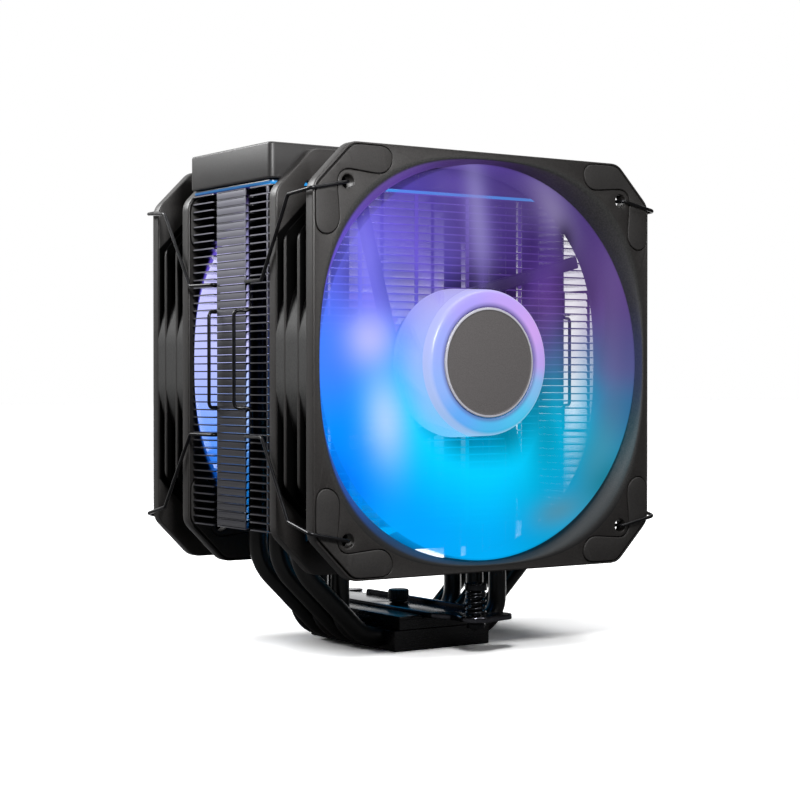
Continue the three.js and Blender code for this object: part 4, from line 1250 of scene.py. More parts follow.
@dataclass
class FanFrame:
    """A fan's moulded frame: two flanges and two ribs on a drum, and the motor seat on four struts."""

    size: float = 129.0
    depth: float = 25.0
    corner_cut: float = 13.0
    corner_radius: float = 6.0
    flange: float = 4.2
    rib_cut: float = 27.0
    rib: float = 1.2
    ribs: tuple[float, ...] = (7.8, 15.4)
    mouth_radius: float = 62.4
    mouth_power: float = 2.7
    throat_radius: float = 61.3
    drum_radius: float = 65.0
    drum_wall: float = 1.5
    lip: float = 0.4
    edge: float = 0.5
    hole_radius: float = 2.15
    hole_place: float = 52.5
    cup_radius: float = 21.0
    cup_thickness: float = 3.5
    tube: tuple[float, float, float] = (4.2, 5.4, 6.0)
    strut_width: float = 4.0
    strut_thickness: float = 3.0
    strut_offset: float = 19.0
    strut_tilt: float = 15.0
    sides: int = 144

    def outline(self, cut: float) -> np.ndarray:
        """The square with cut and rounded corners."""
        half = self.size / 2
        near = half - cut
        corners = [
            (half, -near), (half, near), (near, half), (-near, half),
            (-half, near), (-half, -near), (-near, -half), (near, -half),
        ]  # fmt: skip
        return rounded(corners, self.corner_radius, 5)

    def mouth(self, angles: np.ndarray) -> np.ndarray:
        """Both mouths' radius: R (|cos|^n + |sin|^n)^(-1/n), a circle drawn out into the corners."""
        power = self.mouth_power
        return self.mouth_radius * (np.abs(np.cos(angles)) ** power + np.abs(np.sin(angles)) ** power) ** (-1 / power)

    def flanges(self) -> list[Skin]:
        """The two flanges, with their holes and pad pockets."""
        pads = CornerPads()
        angles = np.linspace(0, 2 * np.pi, self.sides, endpoint=False)
        reach = self.mouth(angles) + self.lip
        ring = Opening(np.stack([reach * np.cos(angles), reach * np.sin(angles)], -1))
        holes = [
            Opening(circle(self.hole_radius, 24, (x * self.hole_place, z * self.hole_place)), 0.25)
            for x in (-1, 1)
            for z in (-1, 1)
        ]
        outline = self.outline(self.corner_cut)
        front = plate(outline, 0, self.flange, self.edge, [ring, *holes, *pads.pockets(False)])
        rear = plate(outline, self.depth - self.flange, self.depth, self.edge, [ring, *holes, *pads.pockets(True)])
        return [front.upright(), rear.upright()]

    def drum(self) -> Skin:
        """The duct's wall, which opens from a round throat at half depth to both mouths.

        At a share u of the way from the throat to a mouth the inner radius is
        throat + (mouth - throat) (1 - sqrt(1 - u^2)). The outer side is cut off flush with the frame.
        """
        angles = np.linspace(0, 2 * np.pi, self.sides, endpoint=False)[None, :]
        mouth, rim, half = self.mouth(angles), 0.6, self.depth / 2
        share = np.sin(np.linspace(-1, 1, 33) * np.pi / 2)[:, None]
        inner = self.throat_radius + (mouth - self.throat_radius) * (1 - np.sqrt(np.clip(1 - share**2, 0, 1)))
        outer_share = np.linspace(1 - rim / half, -1 + rim / half, 15)[:, None]
        bulge = self.throat_radius + (mouth - self.throat_radius) * (1 - np.sqrt(1 - outer_share**2))
        most = (self.size / 2 - 0.05) / np.maximum(np.abs(np.cos(angles)), np.abs(np.sin(angles)))
        outer = np.minimum(np.maximum(self.drum_radius, bulge + self.drum_wall), most)
        edge = mouth + self.lip
        radii = np.concatenate([inner, edge, edge, outer, edge, edge])
        levels = [half * (1 + share[:, 0]), [self.depth, self.depth - rim], half * (1 + outer_share[:, 0]), [rim, 0.0]]
        heights = np.concatenate(levels)[:, None] + 0 * angles
        points = np.stack([radii * np.cos(angles), radii * np.sin(angles), heights], -1)
        return Skin(points.reshape(-1, 3), grid_faces(len(radii), self.sides, True, True)).outward().upright()

    def seat(self) -> Skin:
        """The motor cup and the bearing's tube."""
        inner, outer, front = self.tube
        floor = self.depth - self.cup_thickness
        profile = [
            (0, floor), (inner, floor), (inner, front), (outer, front), (outer, floor),
            (self.cup_radius, floor), (self.cup_radius, self.depth), (0, self.depth),
        ]  # fmt: skip
        return lathe(rounded(profile, [0, 0, 0.2, 0.2, 0.4, 0.5, 0.8, 0], 4), 72).upright()

    def struts(self) -> list[Skin]:
        """Four beams, tangent to the cup."""
        reach = math.sqrt(self.throat_radius**2 - self.strut_offset**2) + 1.5
        section = rectangle(self.strut_width, self.strut_thickness, 0.7)
        middle = self.depth - self.strut_thickness / 2
        path = np.array([[0, middle, self.strut_offset], [reach, middle, self.strut_offset]], float)
        beam = swept(path, section, (0, 1, 0))
        return [beam.turned(-self.strut_tilt - 90.0 * index) for index in range(4)]

    def skin(self) -> Skin:
        """The whole moulding, in the fan's own coordinates."""
        ring = Opening(circle(self.throat_radius + 2.2, self.sides))
        outline = inset(self.outline(self.rib_cut), 0.03)
        ribs = [plate(outline, low, low + self.rib, 0.2, [ring]).upright() for low in self.ribs]
        return Skin.of([*self.flanges(), self.seat(), *self.struts(), *ribs])

    def build(self, shop: Shop, place: FanPlace) -> None:
        """Makes the moulding for one fan, its duct's wall with a finish of its own."""
        name = place.named("fan_frame")
        shop.piece(name + "_moulding", place.set_in(self.skin()), FramePlastic(place.face), "cooler", "frame_plastic", [name])
        wall = place.set_in(self.drum())
        shop.piece(name + "_duct", wall, DuctWall(place.face), "cooler", "frame_plastic", [name])


@dataclass
class Rotor:
    """The frosted hub with its cap, and nine swept and twisted blades."""

    hub_radius: float = 22.5
    hub_front: float = 0.6
    hub_rear: float = 19.5
    flare: float = 1.0
    wall: float = 1.8
    cap_radius: float = 17.0
    cap_thickness: float = 1.0
    blades: int = 9
    tip_radius: float = 60.3
    sweep_radius: float = 61.1
    thickness: float = 1.5
    root_depths: tuple[float, float] = (3.6, 18.4)
    tip_depths: tuple[float, float] = (8.0, 19.4)
    root_spread: float = 33.0
    tip_spread: float = 37.0
    sweep: float = 15.0
    camber: float = 0.35
    stations: int = 22
    steps: int = 16

    def hub(self) -> Skin:
        """The shell with its cap recess and shaft boss."""
        recess, floor = self.cap_radius + SEAT_GAP, self.hub_front + self.cap_thickness + SEAT_GAP
        inside = floor + self.wall
        profile = [
            (0, floor), (recess, floor), (recess, self.hub_front), (self.hub_radius, self.hub_front),
            (self.hub_radius + self.flare, self.hub_rear),
            (self.hub_radius + self.flare - self.wall, self.hub_rear), (self.hub_radius - self.wall, inside),
            (4.0, inside), (4.0, inside + 2), (1.8, inside + 2), (1.8, inside), (0, inside),
        ]  # fmt: skip
        radii = [0, 0.1, 0.4, 1.8, 0.4, 0.4, 1.0, 0.3, 0.2, 0.1, 0.1, 0]
        return lathe(rounded(profile, radii, 6), 96).upright()

    def cap(self) -> Skin:
        """The bare disc with a raised, turned rim."""
        front, rear = self.hub_front, self.hub_front + self.cap_thickness
        profile = [
            (0, front + 0.15), (15.9, front + 0.15), (16.25, front - 0.0), (self.cap_radius, front),
            (self.cap_radius, rear), (0, rear),
        ]  # fmt: skip
        return lathe(rounded(profile, [0, 0.3, 0.15, 0.25, 0.1, 0], 4), 96).upright()

    def blade(self) -> Skin:
        """One blade: its skin goes out along the upper side and back along the lower one.

        The middle surface turns by sweep * span^2 + spread * (1/2 - chord) and runs back with the
        chord, cambered. Each side stands off it by half the thickness, which thins to both edges.
        """
        span = np.linspace(0, 1, self.stations + 1)[:, None]
        way = np.linspace(0, 2 * np.pi, 2 * self.steps, endpoint=False)[None, :]
        chord = (1 - np.cos(way)) / 2 + 0 * span
        side = np.sin(way)
        root = self.hub_radius - self.wall / 4
        radius = root + (self.tip_radius - root) * span
        spread = np.radians(self.root_spread + (self.tip_spread - self.root_spread) * span)
        front = self.root_depths[0] + (self.tip_depths[0] - self.root_depths[0]) * span
        rear = self.root_depths[1] + (self.tip_depths[1] - self.root_depths[1]) * span
        fall = chord * (1 - self.camber) + chord**2 * self.camber
        slope = (1 - self.camber + 2 * chord * self.camber) * (rear - front)
        along = -radius * spread
        length = np.hypot(along, slope)
        offset = side * (self.thickness / 2) * (0.85 - 0.25 * span)
        turn = np.radians(self.sweep) * span**2 + spread * (0.5 - chord) - slope / length * offset / radius
        depth = front + (rear - front) * fall + along / length * offset
        rings = np.stack([radius * np.cos(turn), depth, radius * np.sin(turn)], -1)
        return capped(rings, np.stack([chord, span + 0 * chord], -1))

    def sweep_body(self) -> Skin:
        """The round body that the blades sweep, smooth and closed, at their root's front depth."""
        share = np.linspace(0, 1, 20)
        root = self.hub_radius + 0.9
        radius = root + (self.sweep_radius - root) * share
        front = self.root_depths[0] - 0.9 * np.clip(share * 3, 0, 1)
        rear = self.root_depths[1] + (self.tip_depths[1] - self.root_depths[1]) * share
        profile = np.concatenate([np.stack([radius, front], -1), np.stack([radius, rear], -1)[::-1]])
        skin = lathe(profile, 120)
        sides = np.repeat([0.0, 1.0], len(share))
        marks = np.stack([sides, np.concatenate([share, share[::-1]])], -1)
        skin.marks = np.repeat(marks, 120, axis=0)
        return skin.upright()

    def build(self, shop: Shop, place: FanPlace) -> None:
        """Makes the hub, the cap, the blades and their sweep, for one fan."""
        wheel = place.wheel
        one = self.blade()
        blades = Skin.of([one.turned(-360.0 * index / self.blades) for index in range(self.blades)])
        hub, cap = place.named("rotor"), place.named("hub_cap")
        shop.piece(hub + "_hub", place.set_in(self.hub()), FrostedHub(), wheel, "frosted_plastic", [hub])
        shop.piece(hub + "_blades", place.set_in(blades), FrostedBlades(), wheel, "frosted_plastic", [hub], 80)
        sweep = place.set_in(self.sweep_body())
        shop.piece(hub + "_sweep", sweep, SpinBlur(place.face), wheel, "frosted_plastic", [hub], 80)
        shop.piece(cap + "_disc", place.set_in(self.cap()), HubCapFinish(), wheel, "cap_plastic", [cap])


@dataclass
class Motor:
    """The inner pieces of a fan's motor, which keep their own shapes."""

    finishes: tuple[tuple[str, Finish], ...] = (
        ("magnet_ring", MAGNET_COAT),
        ("rotor_shaft", SHAFT_STEEL),
        ("bearing_sleeve", BRONZE),
        ("stator", WoundCopper()),
        ("motor_board", BoardFinish()),
    )

    def build(self, shop: Shop, place: FanPlace) -> None:
        """Dresses the motor's nodes."""
        for piece, finish in self.finishes:
            shop.dress(place.named(piece), finish)


@dataclass
class FinStack:
    """Forty-four coated fins with folded side flanges, clip grooves and pipe holes."""

    count: int = 44
    thickness: float = 0.4
    bottom: float = 39.3
    top: float = 144.3
    half_width: float = 63.2
    half_depth: float = 24.9
    band: float = 17.7
    groove_width: float = 2.9
    groove_depth: float = 3.0
    hole_radius: float = 3.12
    pitch_of_pipes: float = 6.3
    outer_place: float = 48.0
    inner_place: float = 29.0
    seam: float = 0.16
    tab_places: tuple[float, ...] = (10.0, 31.4)

    def outline(self) -> np.ndarray:
        """The fin's outline, with two clip grooves in each side."""
        side, end = self.half_width, self.half_depth
        deep, near = side - self.groove_depth, self.band / 2
        far = near + self.groove_width
        quarter = np.array([[side, near], [deep, near], [deep, far], [side, far], [side, end]])
        flips = [(1, 1, 1), (-1, 1, -1), (-1, -1, 1), (1, -1, -1)]
        corners = np.concatenate([(quarter * [sx, sy])[::way] for sx, sy, way in flips])
        return rounded(corners, [0.2, 0.6, 0.6, 0.3, 0.8, 0.8, 0.3, 0.6, 0.6, 0.2] * 2, 3)

    def holes(self) -> list[Opening]:
        """A hole for each riser."""
        rows = (np.arange(6) - 2.5) * self.pitch_of_pipes
        found = []
        for index, y in enumerate(rows):
            side = -1 if index % 2 == 0 else 1
            for x in (side * self.outer_place, -side * self.inner_place):
                found.append(Opening(circle(self.hole_radius, 20, (x, float(y)))))
        return found

    def fold(self, side: int, y: tuple[float, float], height: float, drop: float) -> Skin:
        """A strip folded down from a fin's edge: an upright section with a round shoulder."""
        outer = self.half_width
        wall = 0.42
        section = rounded(
            [(outer - 1.2, height), (outer - 1.2, height - 0.3), (outer - wall, height - 0.3),
             (outer - wall, height - drop), (outer, height - drop), (outer, height)],
            [0.1, 0.1, 0.15, 0.05, 0.05, 0.2], 3,
        )  # fmt: skip
        rings = np.stack([np.column_stack([side * section[:, 0], np.full(len(section), place), section[:, 1]]) for place in y])
        return capped(rings)

    def build(self, shop: Shop) -> None:
        """Makes all fins with their folds as one piece."""
        fin = plate(self.outline(), 0, self.thickness, 0.0, self.holes())
        pitch = (self.top - self.thickness - self.bottom) / (self.count - 1)
        half = self.band / 2
        folds = [self.fold(side, (-half, half), self.thickness, pitch - self.seam) for side in (-1, 1)]
        tabs = [self.fold(side, (-22.75, -21.85), self.thickness, pitch - self.seam) for side in (-1, 1)]
        ear = plate(rectangle(1.3, 0.5, 0.1, 1), self.thickness - pitch + self.seam, self.thickness / 2, 0.0)
        tabs += [
            ear.moved(x=side * place, y=end * (self.half_depth - 0.3))
            for place in self.tab_places
            for side in (-1, 1)
            for end in (-1, 1)
        ]
        lowest = [fin]
        whole = Skin.of([fin, *folds, *tabs])
        levels = [self.bottom + pitch * index for index in range(self.count)]
        parts = [whole.moved(z=level) for level in levels[1:]] + [part.moved(z=levels[0]) for part in lowest]
        shop.piece("fin_stack_sheets", Skin.of(parts), LitFins(), "cooler", "fin_metal", ["fin_stack"], 30)


@dataclass
class TopGroup:
    """The cover, the light bar under its rim and the board inside."""

    width: float = 128.0
    depth: float = 50.4
    bottom: float = 146.0
    height: float = 11.0
    corner: float = 1.8
    wall: float = 1.8
    bar: tuple[float, float] = (144.6, 145.7)
    rim: float = 5.6
    window_depth: float = 38.1

    def build(self, shop: Shop) -> None:
        """Makes the cover and the bar, and dresses the board."""
        outline = rectangle(self.width, self.depth, self.corner, 6)
        inside = rectangle(self.width - 2 * self.wall, self.depth - 2 * self.wall, 1.0)
        hollow = Opening(inside, 0.2, self.height - self.wall)
        cover = plate(outline, self.bottom, self.bottom + self.height, 0.7, [hollow], 4)
        shop.piece("top_cover_shell", cover, COVER_COAT, "cooler", "cover_metal", ["top_cover"])
        bar = rectangle(self.width - 1.5, self.depth - 1.5, 1.5)
        window = Opening(rectangle(self.width - 1.5 - 2 * self.rim, self.window_depth, 1.5), 0.2)
        light = plate(bar, self.bar[0], self.bar[1], 0.3, [window])
        shop.piece("light_bar_strip", light, LitBar(), "cooler", "light_plastic", ["light_bar"])
        shop.dress("light_board", BoardFinish())


@dataclass
class HeatPipes:
    """Six bent pipes, with the outer riser on the left and on the right in turn."""

    diameter: float = 6.0
    pitch: float = 6.3
    height: float = 4.0
    top: float = 150.0
    outer: float = 48.0
    inner: float = 29.0
    shoulder: float = 27.4
    foot: float = 24.0
    bends: tuple[float, float, float] = (16.0, 12.0, 10.0)

    def path(self, index: int) -> np.ndarray:
        """A pipe's middle line, from the top of its outer riser."""
        side = -1 if index % 2 == 0 else 1
        y = (index - 2.5) * self.pitch
        corners = [
            (side * self.outer, y, self.top), (side * self.outer, y, self.shoulder),
            (side * self.foot, y, self.height), (-side * self.inner, y, self.height),
            (-side * self.inner, y, self.top),
        ]  # fmt: skip
        return rounded(corners, self.bends, 10, closed=False)

    def build(self, shop: Shop) -> None:
        """Makes each pipe as a round section along its line."""
        section = circle(self.diameter / 2, 24)
        for index in range(6):
            skin = swept(self.path(index), section, (0, 1, 0))
            name = f"heat_pipe_{index + 1}"
            shop.piece(name + "_tube", skin, PIPE_PAINT, "cooler", "black_metal", [name])


@dataclass
class BaseClamp:
    """The base plate and block round the pipes, the crossbar and the thumb knob."""

    plate_width: float = 37.0
    plate_depth: float = 50.0
    plate_top: float = 6.4
    block_width: float = 33.0
    block_depth: float = 49.4
    block_top: float = 10.9
    channel: float = 7.8
    channel_floor: float = 9.9
    pipe_height: float = 4.0
    groove: float = 3.3
    pitch: float = 6.3
    bar_low: float = 10.2
    bar_high: float = 12.0
    bar_width: float = 15.0
    neck: float = 9.0
    shoulder_place: float = 29.0
    neck_place: float = 35.0
    eye: float = 5.4
    eye_place: float = 42.6
    arm_reach: float = 13.6
    arm_width: float = 6.4
    flange_top: float = 13.5
    flange_wall: float = 1.2
    knob_radius: float = 3.45
    collar_radius: float = 3.1
    shank_radius: float = 1.9
    knurls: int = 26

    def comb(self, level: float, up: bool) -> np.ndarray:
        """Half-round grooves side by side, from the front to the rear, at a parting level."""
        drop = level - self.pipe_height
        reach = math.degrees(math.asin(max(min(drop / self.groove, 1), -1)))
        arcs = []
        for index in range(6):
            middle = ((index - 2.5) * self.pitch, self.pipe_height)
            start, end = (180 - reach, 360 + reach) if up else (180 - reach, reach)
            arcs.append(arc(middle, self.groove, start, end, 10))
        return np.concatenate(arcs)

    def base_plate(self) -> Skin:
        """The lower plate: its section is carried along X."""
        half, field_half = self.plate_depth / 2, 3 * self.pitch + SEAT_GAP
        section = np.concatenate(
            [
                [(half, 0), (half, self.plate_top), (field_half, self.plate_top), (field_half, self.pipe_height)],
                self.comb(self.pipe_height, True)[::-1],
                [(-field_half, self.pipe_height), (-field_half, self.plate_top), (-half, self.plate_top), (-half, 0)],
            ]
        )
        return plate(section, -self.plate_width / 2, self.plate_width / 2, 0.15, steps=2).sideways()

    def base_block(self) -> list[Skin]:
        """The upper block and the two rails beside the crossbar's channel."""
        half, field_half, low = self.block_depth / 2, 3 * self.pitch - SEAT_GAP, self.plate_top + SEAT_GAP
        section = np.concatenate(
            [
                [(half, low), (half, self.channel_floor), (-half, self.channel_floor), (-half, low), (-field_half, low)],
                [(-field_half, 4.3)],
                self.comb(4.3, False),
                [(field_half, 4.3), (field_half, low)],
            ]
        )
        body = plate(section, -self.block_width / 2, self.block_width / 2, 0.1, steps=2).sideways()
        wide = self.block_width / 2 - self.channel
        middle = self.channel + wide / 2
        rail = plate(rectangle(wide, self.block_depth, 0.3, 2), self.channel_floor - 0.4, self.block_top, 0.25)
        return [body, rail.moved(x=-middle), rail.moved(x=middle)]

    def bar_outline(self) -> np.ndarray:
        """The bar from above: broad in the middle, necked to an eye and an arm at each end."""
        wide, neck, end, arm = self.bar_width / 2, self.neck / 2, self.eye_place, self.arm_width / 2
        sway = math.degrees(math.asin(neck / self.eye))
        straight = [(wide, self.shoulder_place), (neck, self.neck_place), (neck, end - arm), (self.arm_reach, end - arm)]
        tip = arc((self.arm_reach - arm, end), arm, -60, 90, 8)
        eye = arc((0, end), self.eye, 55, 270 - sway, 18)
        left = [(-neck, self.neck_place), (-wide, self.shoulder_place)]
        rear = np.concatenate([straight[:3], [(self.arm_reach - arm, end - arm)], tip, eye, left])
        front = (rear * [1, -1])[::-1]
        return softened(resampled(np.concatenate([rear, front]), 400), 6)

    def crossbar(self) -> list[Skin]:
        """The bar with its three holes, and the upturned flange along its right edge."""
        holes = [Opening(circle(2.2, 24), 0.15)]
        holes += [Opening(circle(1.9, 24, (0, sign * self.eye_place)), 0.15) for sign in (-1, 1)]
        bar = plate(self.bar_outline(), self.bar_low, self.bar_high, 0.35, holes)
        half, right = self.shoulder_place, self.bar_width / 2
        side = rounded(
            [(half, self.bar_low), (half, self.flange_top), (-half, self.flange_top), (-half, self.bar_low)],
            [0.2, 1.0, 1.0, 0.2], 5,
        )  # fmt: skip
        flange = plate(side, right - self.flange_wall, right - 0.01, 0.3).sideways()
        return [bar, flange]

    def knob(self) -> Skin:
        """The knurled head on its collar and shank: the head's radius falls in even grooves."""
        turn = np.linspace(0, 2 * np.pi, self.knurls * 8, endpoint=False)
        ridge = np.abs(np.sin(turn * self.knurls / 2)) ** 0.6
        levels = np.array([(0.0, 13.0), (2.7, 13.0), (3.1, 13.15), (3.45, 13.5), (3.45, 16.0), (3.15, 16.4), (2.6, 16.5), (0.0, 16.5)])
        share = np.array([0, 0, 0.4, 1, 1, 0.4, 0, 0])[:, None]
        radii = levels[:, :1] - share * 0.32 * (1 - ridge[None, :])
        rings = np.stack([radii * np.cos(turn), radii * np.sin(turn), np.broadcast_to(levels[:, 1:], radii.shape)], -1)
        head = Skin(rings.reshape(-1, 3), grid_faces(len(levels), len(turn), False, True)).outward()
        stem = [(0, 8.5), (1.9, 8.5), (1.9, 12.3), (3.1, 12.3), (3.1, 13.1), (0, 13.1)]
        return Skin.of([head, lathe(rounded(stem, [0, 0.4, 0.1, 0.2, 0.1, 0], 3), 40)])

    def build(self, shop: Shop) -> None:
        """Makes the plate, the block, the bar and the knob."""
        shop.piece("base_plate_body", self.base_plate(), BASE_COAT, "cooler", "black_metal", ["base_plate"], 30)
        shop.piece("base_block_body", Skin.of(self.base_block()), BASE_COAT, "cooler", "black_metal", ["base_block"], 30)
        shop.piece("crossbar_body", Skin.of(self.crossbar()), BAR_POLISH, "cooler", "dark_steel", ["crossbar"], 35)
        shop.piece("thumb_knob_body", self.knob(), KNOB_COAT, "knob", "dark_steel", ["thumb_knob"], 35)


@dataclass
class SpringScrews:
    """The two spring screws, with their springs and retaining rings."""

    place: float = 42.6
    shank: float = 1.6
    tip: float = 7.5
    head_radius: float = 3.55
    head_low: float = 19.9
    head_high: float = 22.1
    slot_width: float = 1.1
    slot_depth: float = 1.0
    spring_low: float = 12.3
    spring_high: float = 19.6
    spring_radius: float = 2.8
    wire: float = 0.9
    travel: float = 3.0

    def screw(self) -> Skin:
        """A shank with a round point, a collar and two half-moons that leave a slot between them."""
        floor = self.head_high - self.slot_depth
        profile = [
            (0, self.tip), (1.1, self.tip), (self.shank, self.tip + 0.7), (self.shank, self.head_low),
            (self.head_radius, self.head_low), (self.head_radius, floor + 0.01), (0, floor + 0.01),
        ]  # fmt: skip
        body = lathe(rounded(profile, [0, 0.2, 0.2, 0.1, 0.3, 0, 0], 3), 40)
        away = self.slot_width / 2
        angle = math.degrees(math.asin(away / self.head_radius))
        moon = arc((0, 0), self.head_radius, angle, 180 - angle, 24)
        top = plate(moon, floor - 0.2, self.head_high, 0.2)
        return Skin.of([body, top, top.turned(180, "Z")])

    def spring(self) -> Skin:
        """A helix whose first and last turns lie close: the rise per turn grows in between."""
        share = np.linspace(0, 1, 161)
        rate = 0.32 + 0.9 * np.clip(np.minimum(share, 1 - share) / 0.2 - 0.55, 0, 1)
        rise = np.concatenate([[0], np.cumsum((rate[1:] + rate[:-1]) / 2)])
        height = self.spring_low + self.wire / 2 + (self.spring_high - self.spring_low - self.wire) * rise / rise[-1]
        turn = 2 * np.pi * 5.0 * share
        path = np.stack([self.spring_radius * np.cos(turn), self.spring_radius * np.sin(turn), height], -1)
        return swept(path, circle(self.wire / 2, 10), (0, 0, 1))

    def ring(self) -> Skin:
        """The retaining ring under the bar."""
        profile = [(1.9, 8.1), (2.9, 8.1), (2.9, 9.9), (1.9, 9.9)]
        return lathe(rounded(profile, [0.1, 0.3, 0.3, 0.1], 3), 36)

    def build(self, shop: Shop) -> None:
        """Makes both screws, with their springs and retaining rings."""
        for side, sign in ((Side.FRONT, -1), (Side.REAR, 1)):
            y, end = sign * self.place, side.value
            screw, spring, ring = end + "_spring_screw", end + "_spring", end + "_retaining_ring"
            shop.piece(screw + "_body", self.screw().moved(y=y), DARK_STEEL, end + "_screw", "dark_steel", [screw])
            shop.piece(ring + "_body", self.ring().moved(y=y), DARK_STEEL, end + "_screw_retainer", "dark_steel", [ring])
            coil = shop.piece(spring + "_coil", self.spring().moved(y=y), DARK_STEEL, "cooler", "dark_steel", [spring], 70)
            anchor = (0.0, y * MM, self.spring_low * MM)
            end + "_screw_press"
            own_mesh(coil)


@dataclass
class WireClips:
    """The four bent wires that hook the fans to the fin stack."""

    diameter: float = 1.12
    bend: float = 1.6
    height: float = 90.8
    lift: float = 1.0
    half: tuple[tuple[float, float, float], ...] = (
        (52.5, 47.5, 52.5),
        (52.5, 51.6, 52.5),
        (66.0, 51.6, 49.8),
        (66.0, 39.0, 49.0),
        (65.4, 22.7, 24.7),
        (64.1, 10.3, 24.7),
        (61.8, 10.3, 24.7),
        (61.8, 10.3, 16.0),
        (66.6, 7.9, 16.0),
    )

    def path(self, sign_x: int, sign_y: int) -> np.ndarray:
        """A wire's middle line: the upper half, then its mirror image below."""
        upper = np.array(self.half)
        lower = upper.copy()
        lower[:3, 2] *= -1
        lower[3:, 2] = 2 * self.lift - lower[3:, 2]
        corners = np.concatenate([upper, lower[::-1]]) * [sign_x, sign_y, 1]
        radii = np.full(len(corners) - 2, self.bend)
        radii[[4, 5, 10, 11]] = self.bend / 2
        return rounded(corners + [0, 0, self.height], radii, 6, closed=False)

    def build(self, shop: Shop) -> None:
        """Makes the four clips."""
        section = circle(self.diameter / 2, 12)
        for side, sign_y in ((Side.FRONT, -1), (Side.REAR, 1)):
            for hand, sign_x in (("left", -1), ("right", 1)):
                stem = f"{side.value}_{hand}"
                skin = swept(self.path(sign_x, sign_y), section)
                shop.piece(stem + "_clip_wire", skin, WIRE_STEEL, stem + "_wire", "dark_steel", [stem + "_clip"], 60)


@dataclass
class Lamp:
    """A soft rectangular lamp that looks at a point."""

    name: str
    place: tuple[float, float, float]
    aim: tuple[float, float, float]
    size: tuple[float, float]
    radiance: float
    colour: tuple[float, float, float] = (1.0, 1.0, 1.0)

    def build(self) -> None:
        """Makes the lamp, whose power is its radiance times its area times pi."""
        data = bpy.data.lights.new(self.name, "AREA")
        data.shape, data.size, data.size_y = "RECTANGLE", self.size[0], self.size[1]
        data.energy = self.radiance * self.size[0] * self.size[1] * math.pi
        data.color = self.colour
        lamp = bpy.data.objects.new(self.name, data)
        lamp.location = self.place
        away = np.array(self.place) - np.array(self.aim)
        flat = math.hypot(away[0], away[1])
        lamp.rotation_euler = (math.atan2(flat, away[2]), 0, math.atan2(away[0], -away[1]))
        bpy.context.scene.collection.objects.link(lamp)


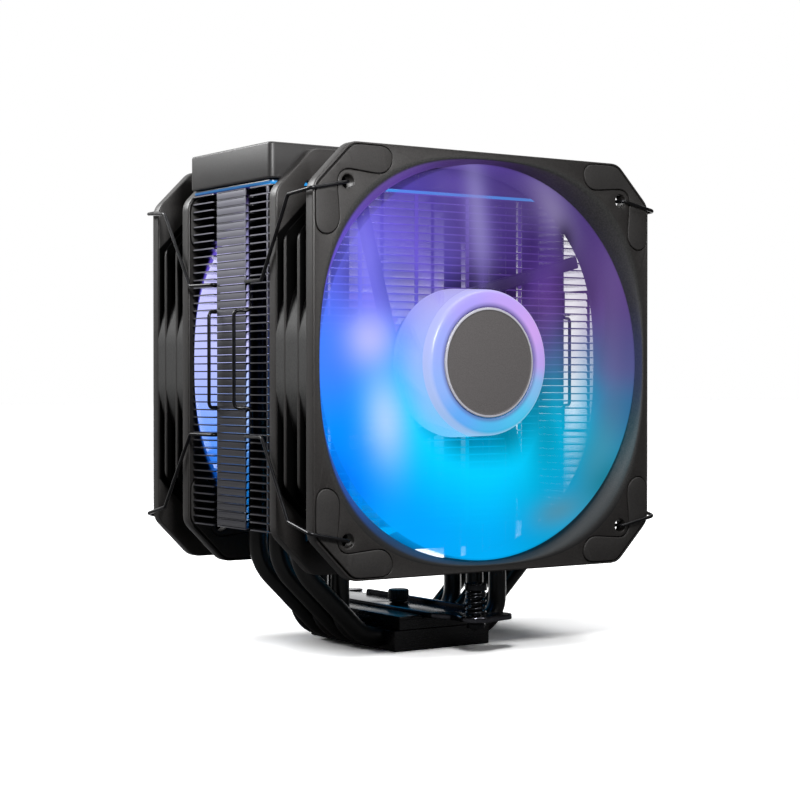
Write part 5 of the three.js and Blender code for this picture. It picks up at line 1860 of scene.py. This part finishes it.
@dataclass
class Studio:
    """Floor, world, lamps and camera."""

    camera_place: tuple[float, float, float] = (-0.34771, -0.50622, 0.08473)
    azimuth: float = 34.5326
    pitch: float = -0.548
    lens: float = 83.68
    view: tuple[float, float] = (0.567, 0.824)
    surround: float = 0.05
    lamps: tuple[Lamp, ...] = (
        Lamp("left softbox", (-0.4, 0.4, 0.46), (-0.06, 0, 0.11), (0.3, 0.3), 22.0),
        Lamp("front softbox", (0.09, -0.34, 0.2), (-0.06, -0.05, 0.15), (0.12, 0.12), 5.0),
        Lamp("upper left softbox", (-0.12, -0.2, 0.19), (-0.065, -0.05, 0.15), (0.05, 0.05), 78.0),
    )

    def floor(self) -> None:
        """A pale floor that the camera sees at full white where nothing shades it."""
        shader = Shader(bpy.data.materials.new("pale floor"))
        seen, mirrored = self.eye(shader)
        x, y, _ = shader.axes()
        far = shader.math("SQRT", x * x + y * y)
        behind = ((x * self.view[0] + y * self.view[1]) / far).step(0.5, 0.85)
        colour = shader.blend(seen.most(mirrored * behind), (0.09, 0.09, 0.09, 1.0), (1.42, 1.42, 1.42, 1.0))
        surface = shader.out("ShaderNodeBsdfDiffuse", {}, {"Color": colour})
        shader.node("ShaderNodeOutputMaterial", {}, {"Surface": surface})
        mesh = bpy.data.meshes.new("floor")
        reach = 6.0
        corners = [(-reach, -reach, -2e-4), (reach, -reach, -2e-4), (reach, reach, -2e-4), (-reach, reach, -2e-4)]
        mesh.from_pydata(corners, [], [(0, 1, 2, 3)])
        mesh.materials.append(shader.material)
        obj = bpy.data.objects.new("floor", mesh)
        bpy.context.scene.collection.objects.link(obj)

    def world(self) -> None:
        """A surround that is white to the eye, and in reflections behind the part, and soft as a light."""
        world = bpy.data.worlds.new("studio")
        bpy.context.scene.world = world
        shader = Shader(world)
        seen, mirrored = self.eye(shader)
        x, y, _ = shader.axes(shader.out("ShaderNodeTexCoord", {}, {}, "Generated"))
        behind = (x * self.view[0] + y * self.view[1]).step(0.5, 0.85)
        strength = self.surround + (1.0 - self.surround) * seen.most(mirrored * behind)
        background = shader.out("ShaderNodeBackground", {}, {"Color": (1.0, 1.0, 1.0, 1.0), "Strength": strength})
        shader.node("ShaderNodeOutputWorld", {}, {"Surface": background})

    @staticmethod
    def eye(shader: Shader) -> tuple[Term, Term]:
        """Whether a ray is the camera's own, seen straight or through something, and whether it is mirrored."""
        outputs = shader.node("ShaderNodeLightPath", {}, {}).outputs
        straight, through = Term(shader, outputs["Is Camera Ray"]), Term(shader, outputs["Is Transmission Ray"])
        return straight.most(through), Term(shader, outputs["Is Glossy Ray"])

    def sun(self) -> None:
        """A broad sun from above, which lights the floor evenly."""
        data = bpy.data.lights.new("overhead light", "SUN")
        data.energy, data.angle = 2.3, math.radians(46)
        lamp = bpy.data.objects.new("overhead light", data)
        lamp.rotation_euler = (math.radians(8), math.radians(7), 0)
        bpy.context.scene.collection.objects.link(lamp)

    def camera(self) -> None:
        """The photograph's view."""
        data = bpy.data.cameras.new("camera")
        data.sensor_width, data.lens = 36.0, self.lens
        data.clip_start, data.clip_end = 0.01, 50.0
        camera = bpy.data.objects.new("camera", data)
        camera.location = self.camera_place
        camera.rotation_euler = (math.radians(90 + self.pitch), 0, -math.radians(self.azimuth))
        bpy.context.scene.collection.objects.link(camera)
        bpy.context.scene.camera = camera

    def build(self) -> None:
        """Sets the whole stage."""
        self.camera()
        self.world()
        self.floor()
        self.sun()
        for lamp in self.lamps:
            lamp.build()
        scene = bpy.context.scene
        scene.view_settings.view_transform = "Standard"
        scene.cycles.transparent_max_bounces = 24


@dataclass
class TowerCooler:
    """The whole cooler, built from its sub-assemblies."""

    fans: tuple[FanPlace, ...] = (FanPlace(Side.FRONT, -50.5), FanPlace(Side.REAR, 25.5))
    frame: FanFrame = field(default_factory=FanFrame)
    pads: CornerPads = field(default_factory=CornerPads)
    rotor: Rotor = field(default_factory=Rotor)
    motor: Motor = field(default_factory=Motor)

    def build(self, shop: Shop) -> None:
        """Builds every sub-assembly in order."""
        for place in self.fans:
            self.frame.build(shop, place)
            self.pads.build(shop, place)
            self.rotor.build(shop, place)
            self.motor.build(shop, place)
        for group in (FinStack(), TopGroup(), HeatPipes(), BaseClamp(), SpringScrews(), WireClips()):
            group.build(shop)


def main() -> None:
    """Loads the frame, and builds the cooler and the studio."""
    logging.basicConfig(level=logging.INFO, format="%(message)s")
    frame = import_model()
    shop = Shop(frame["nodes"])
    Studio().build()
    TowerCooler().build(shop)
    LOG.info("%d pieces made", shop.made)


if __name__ == "__main__":
    main()
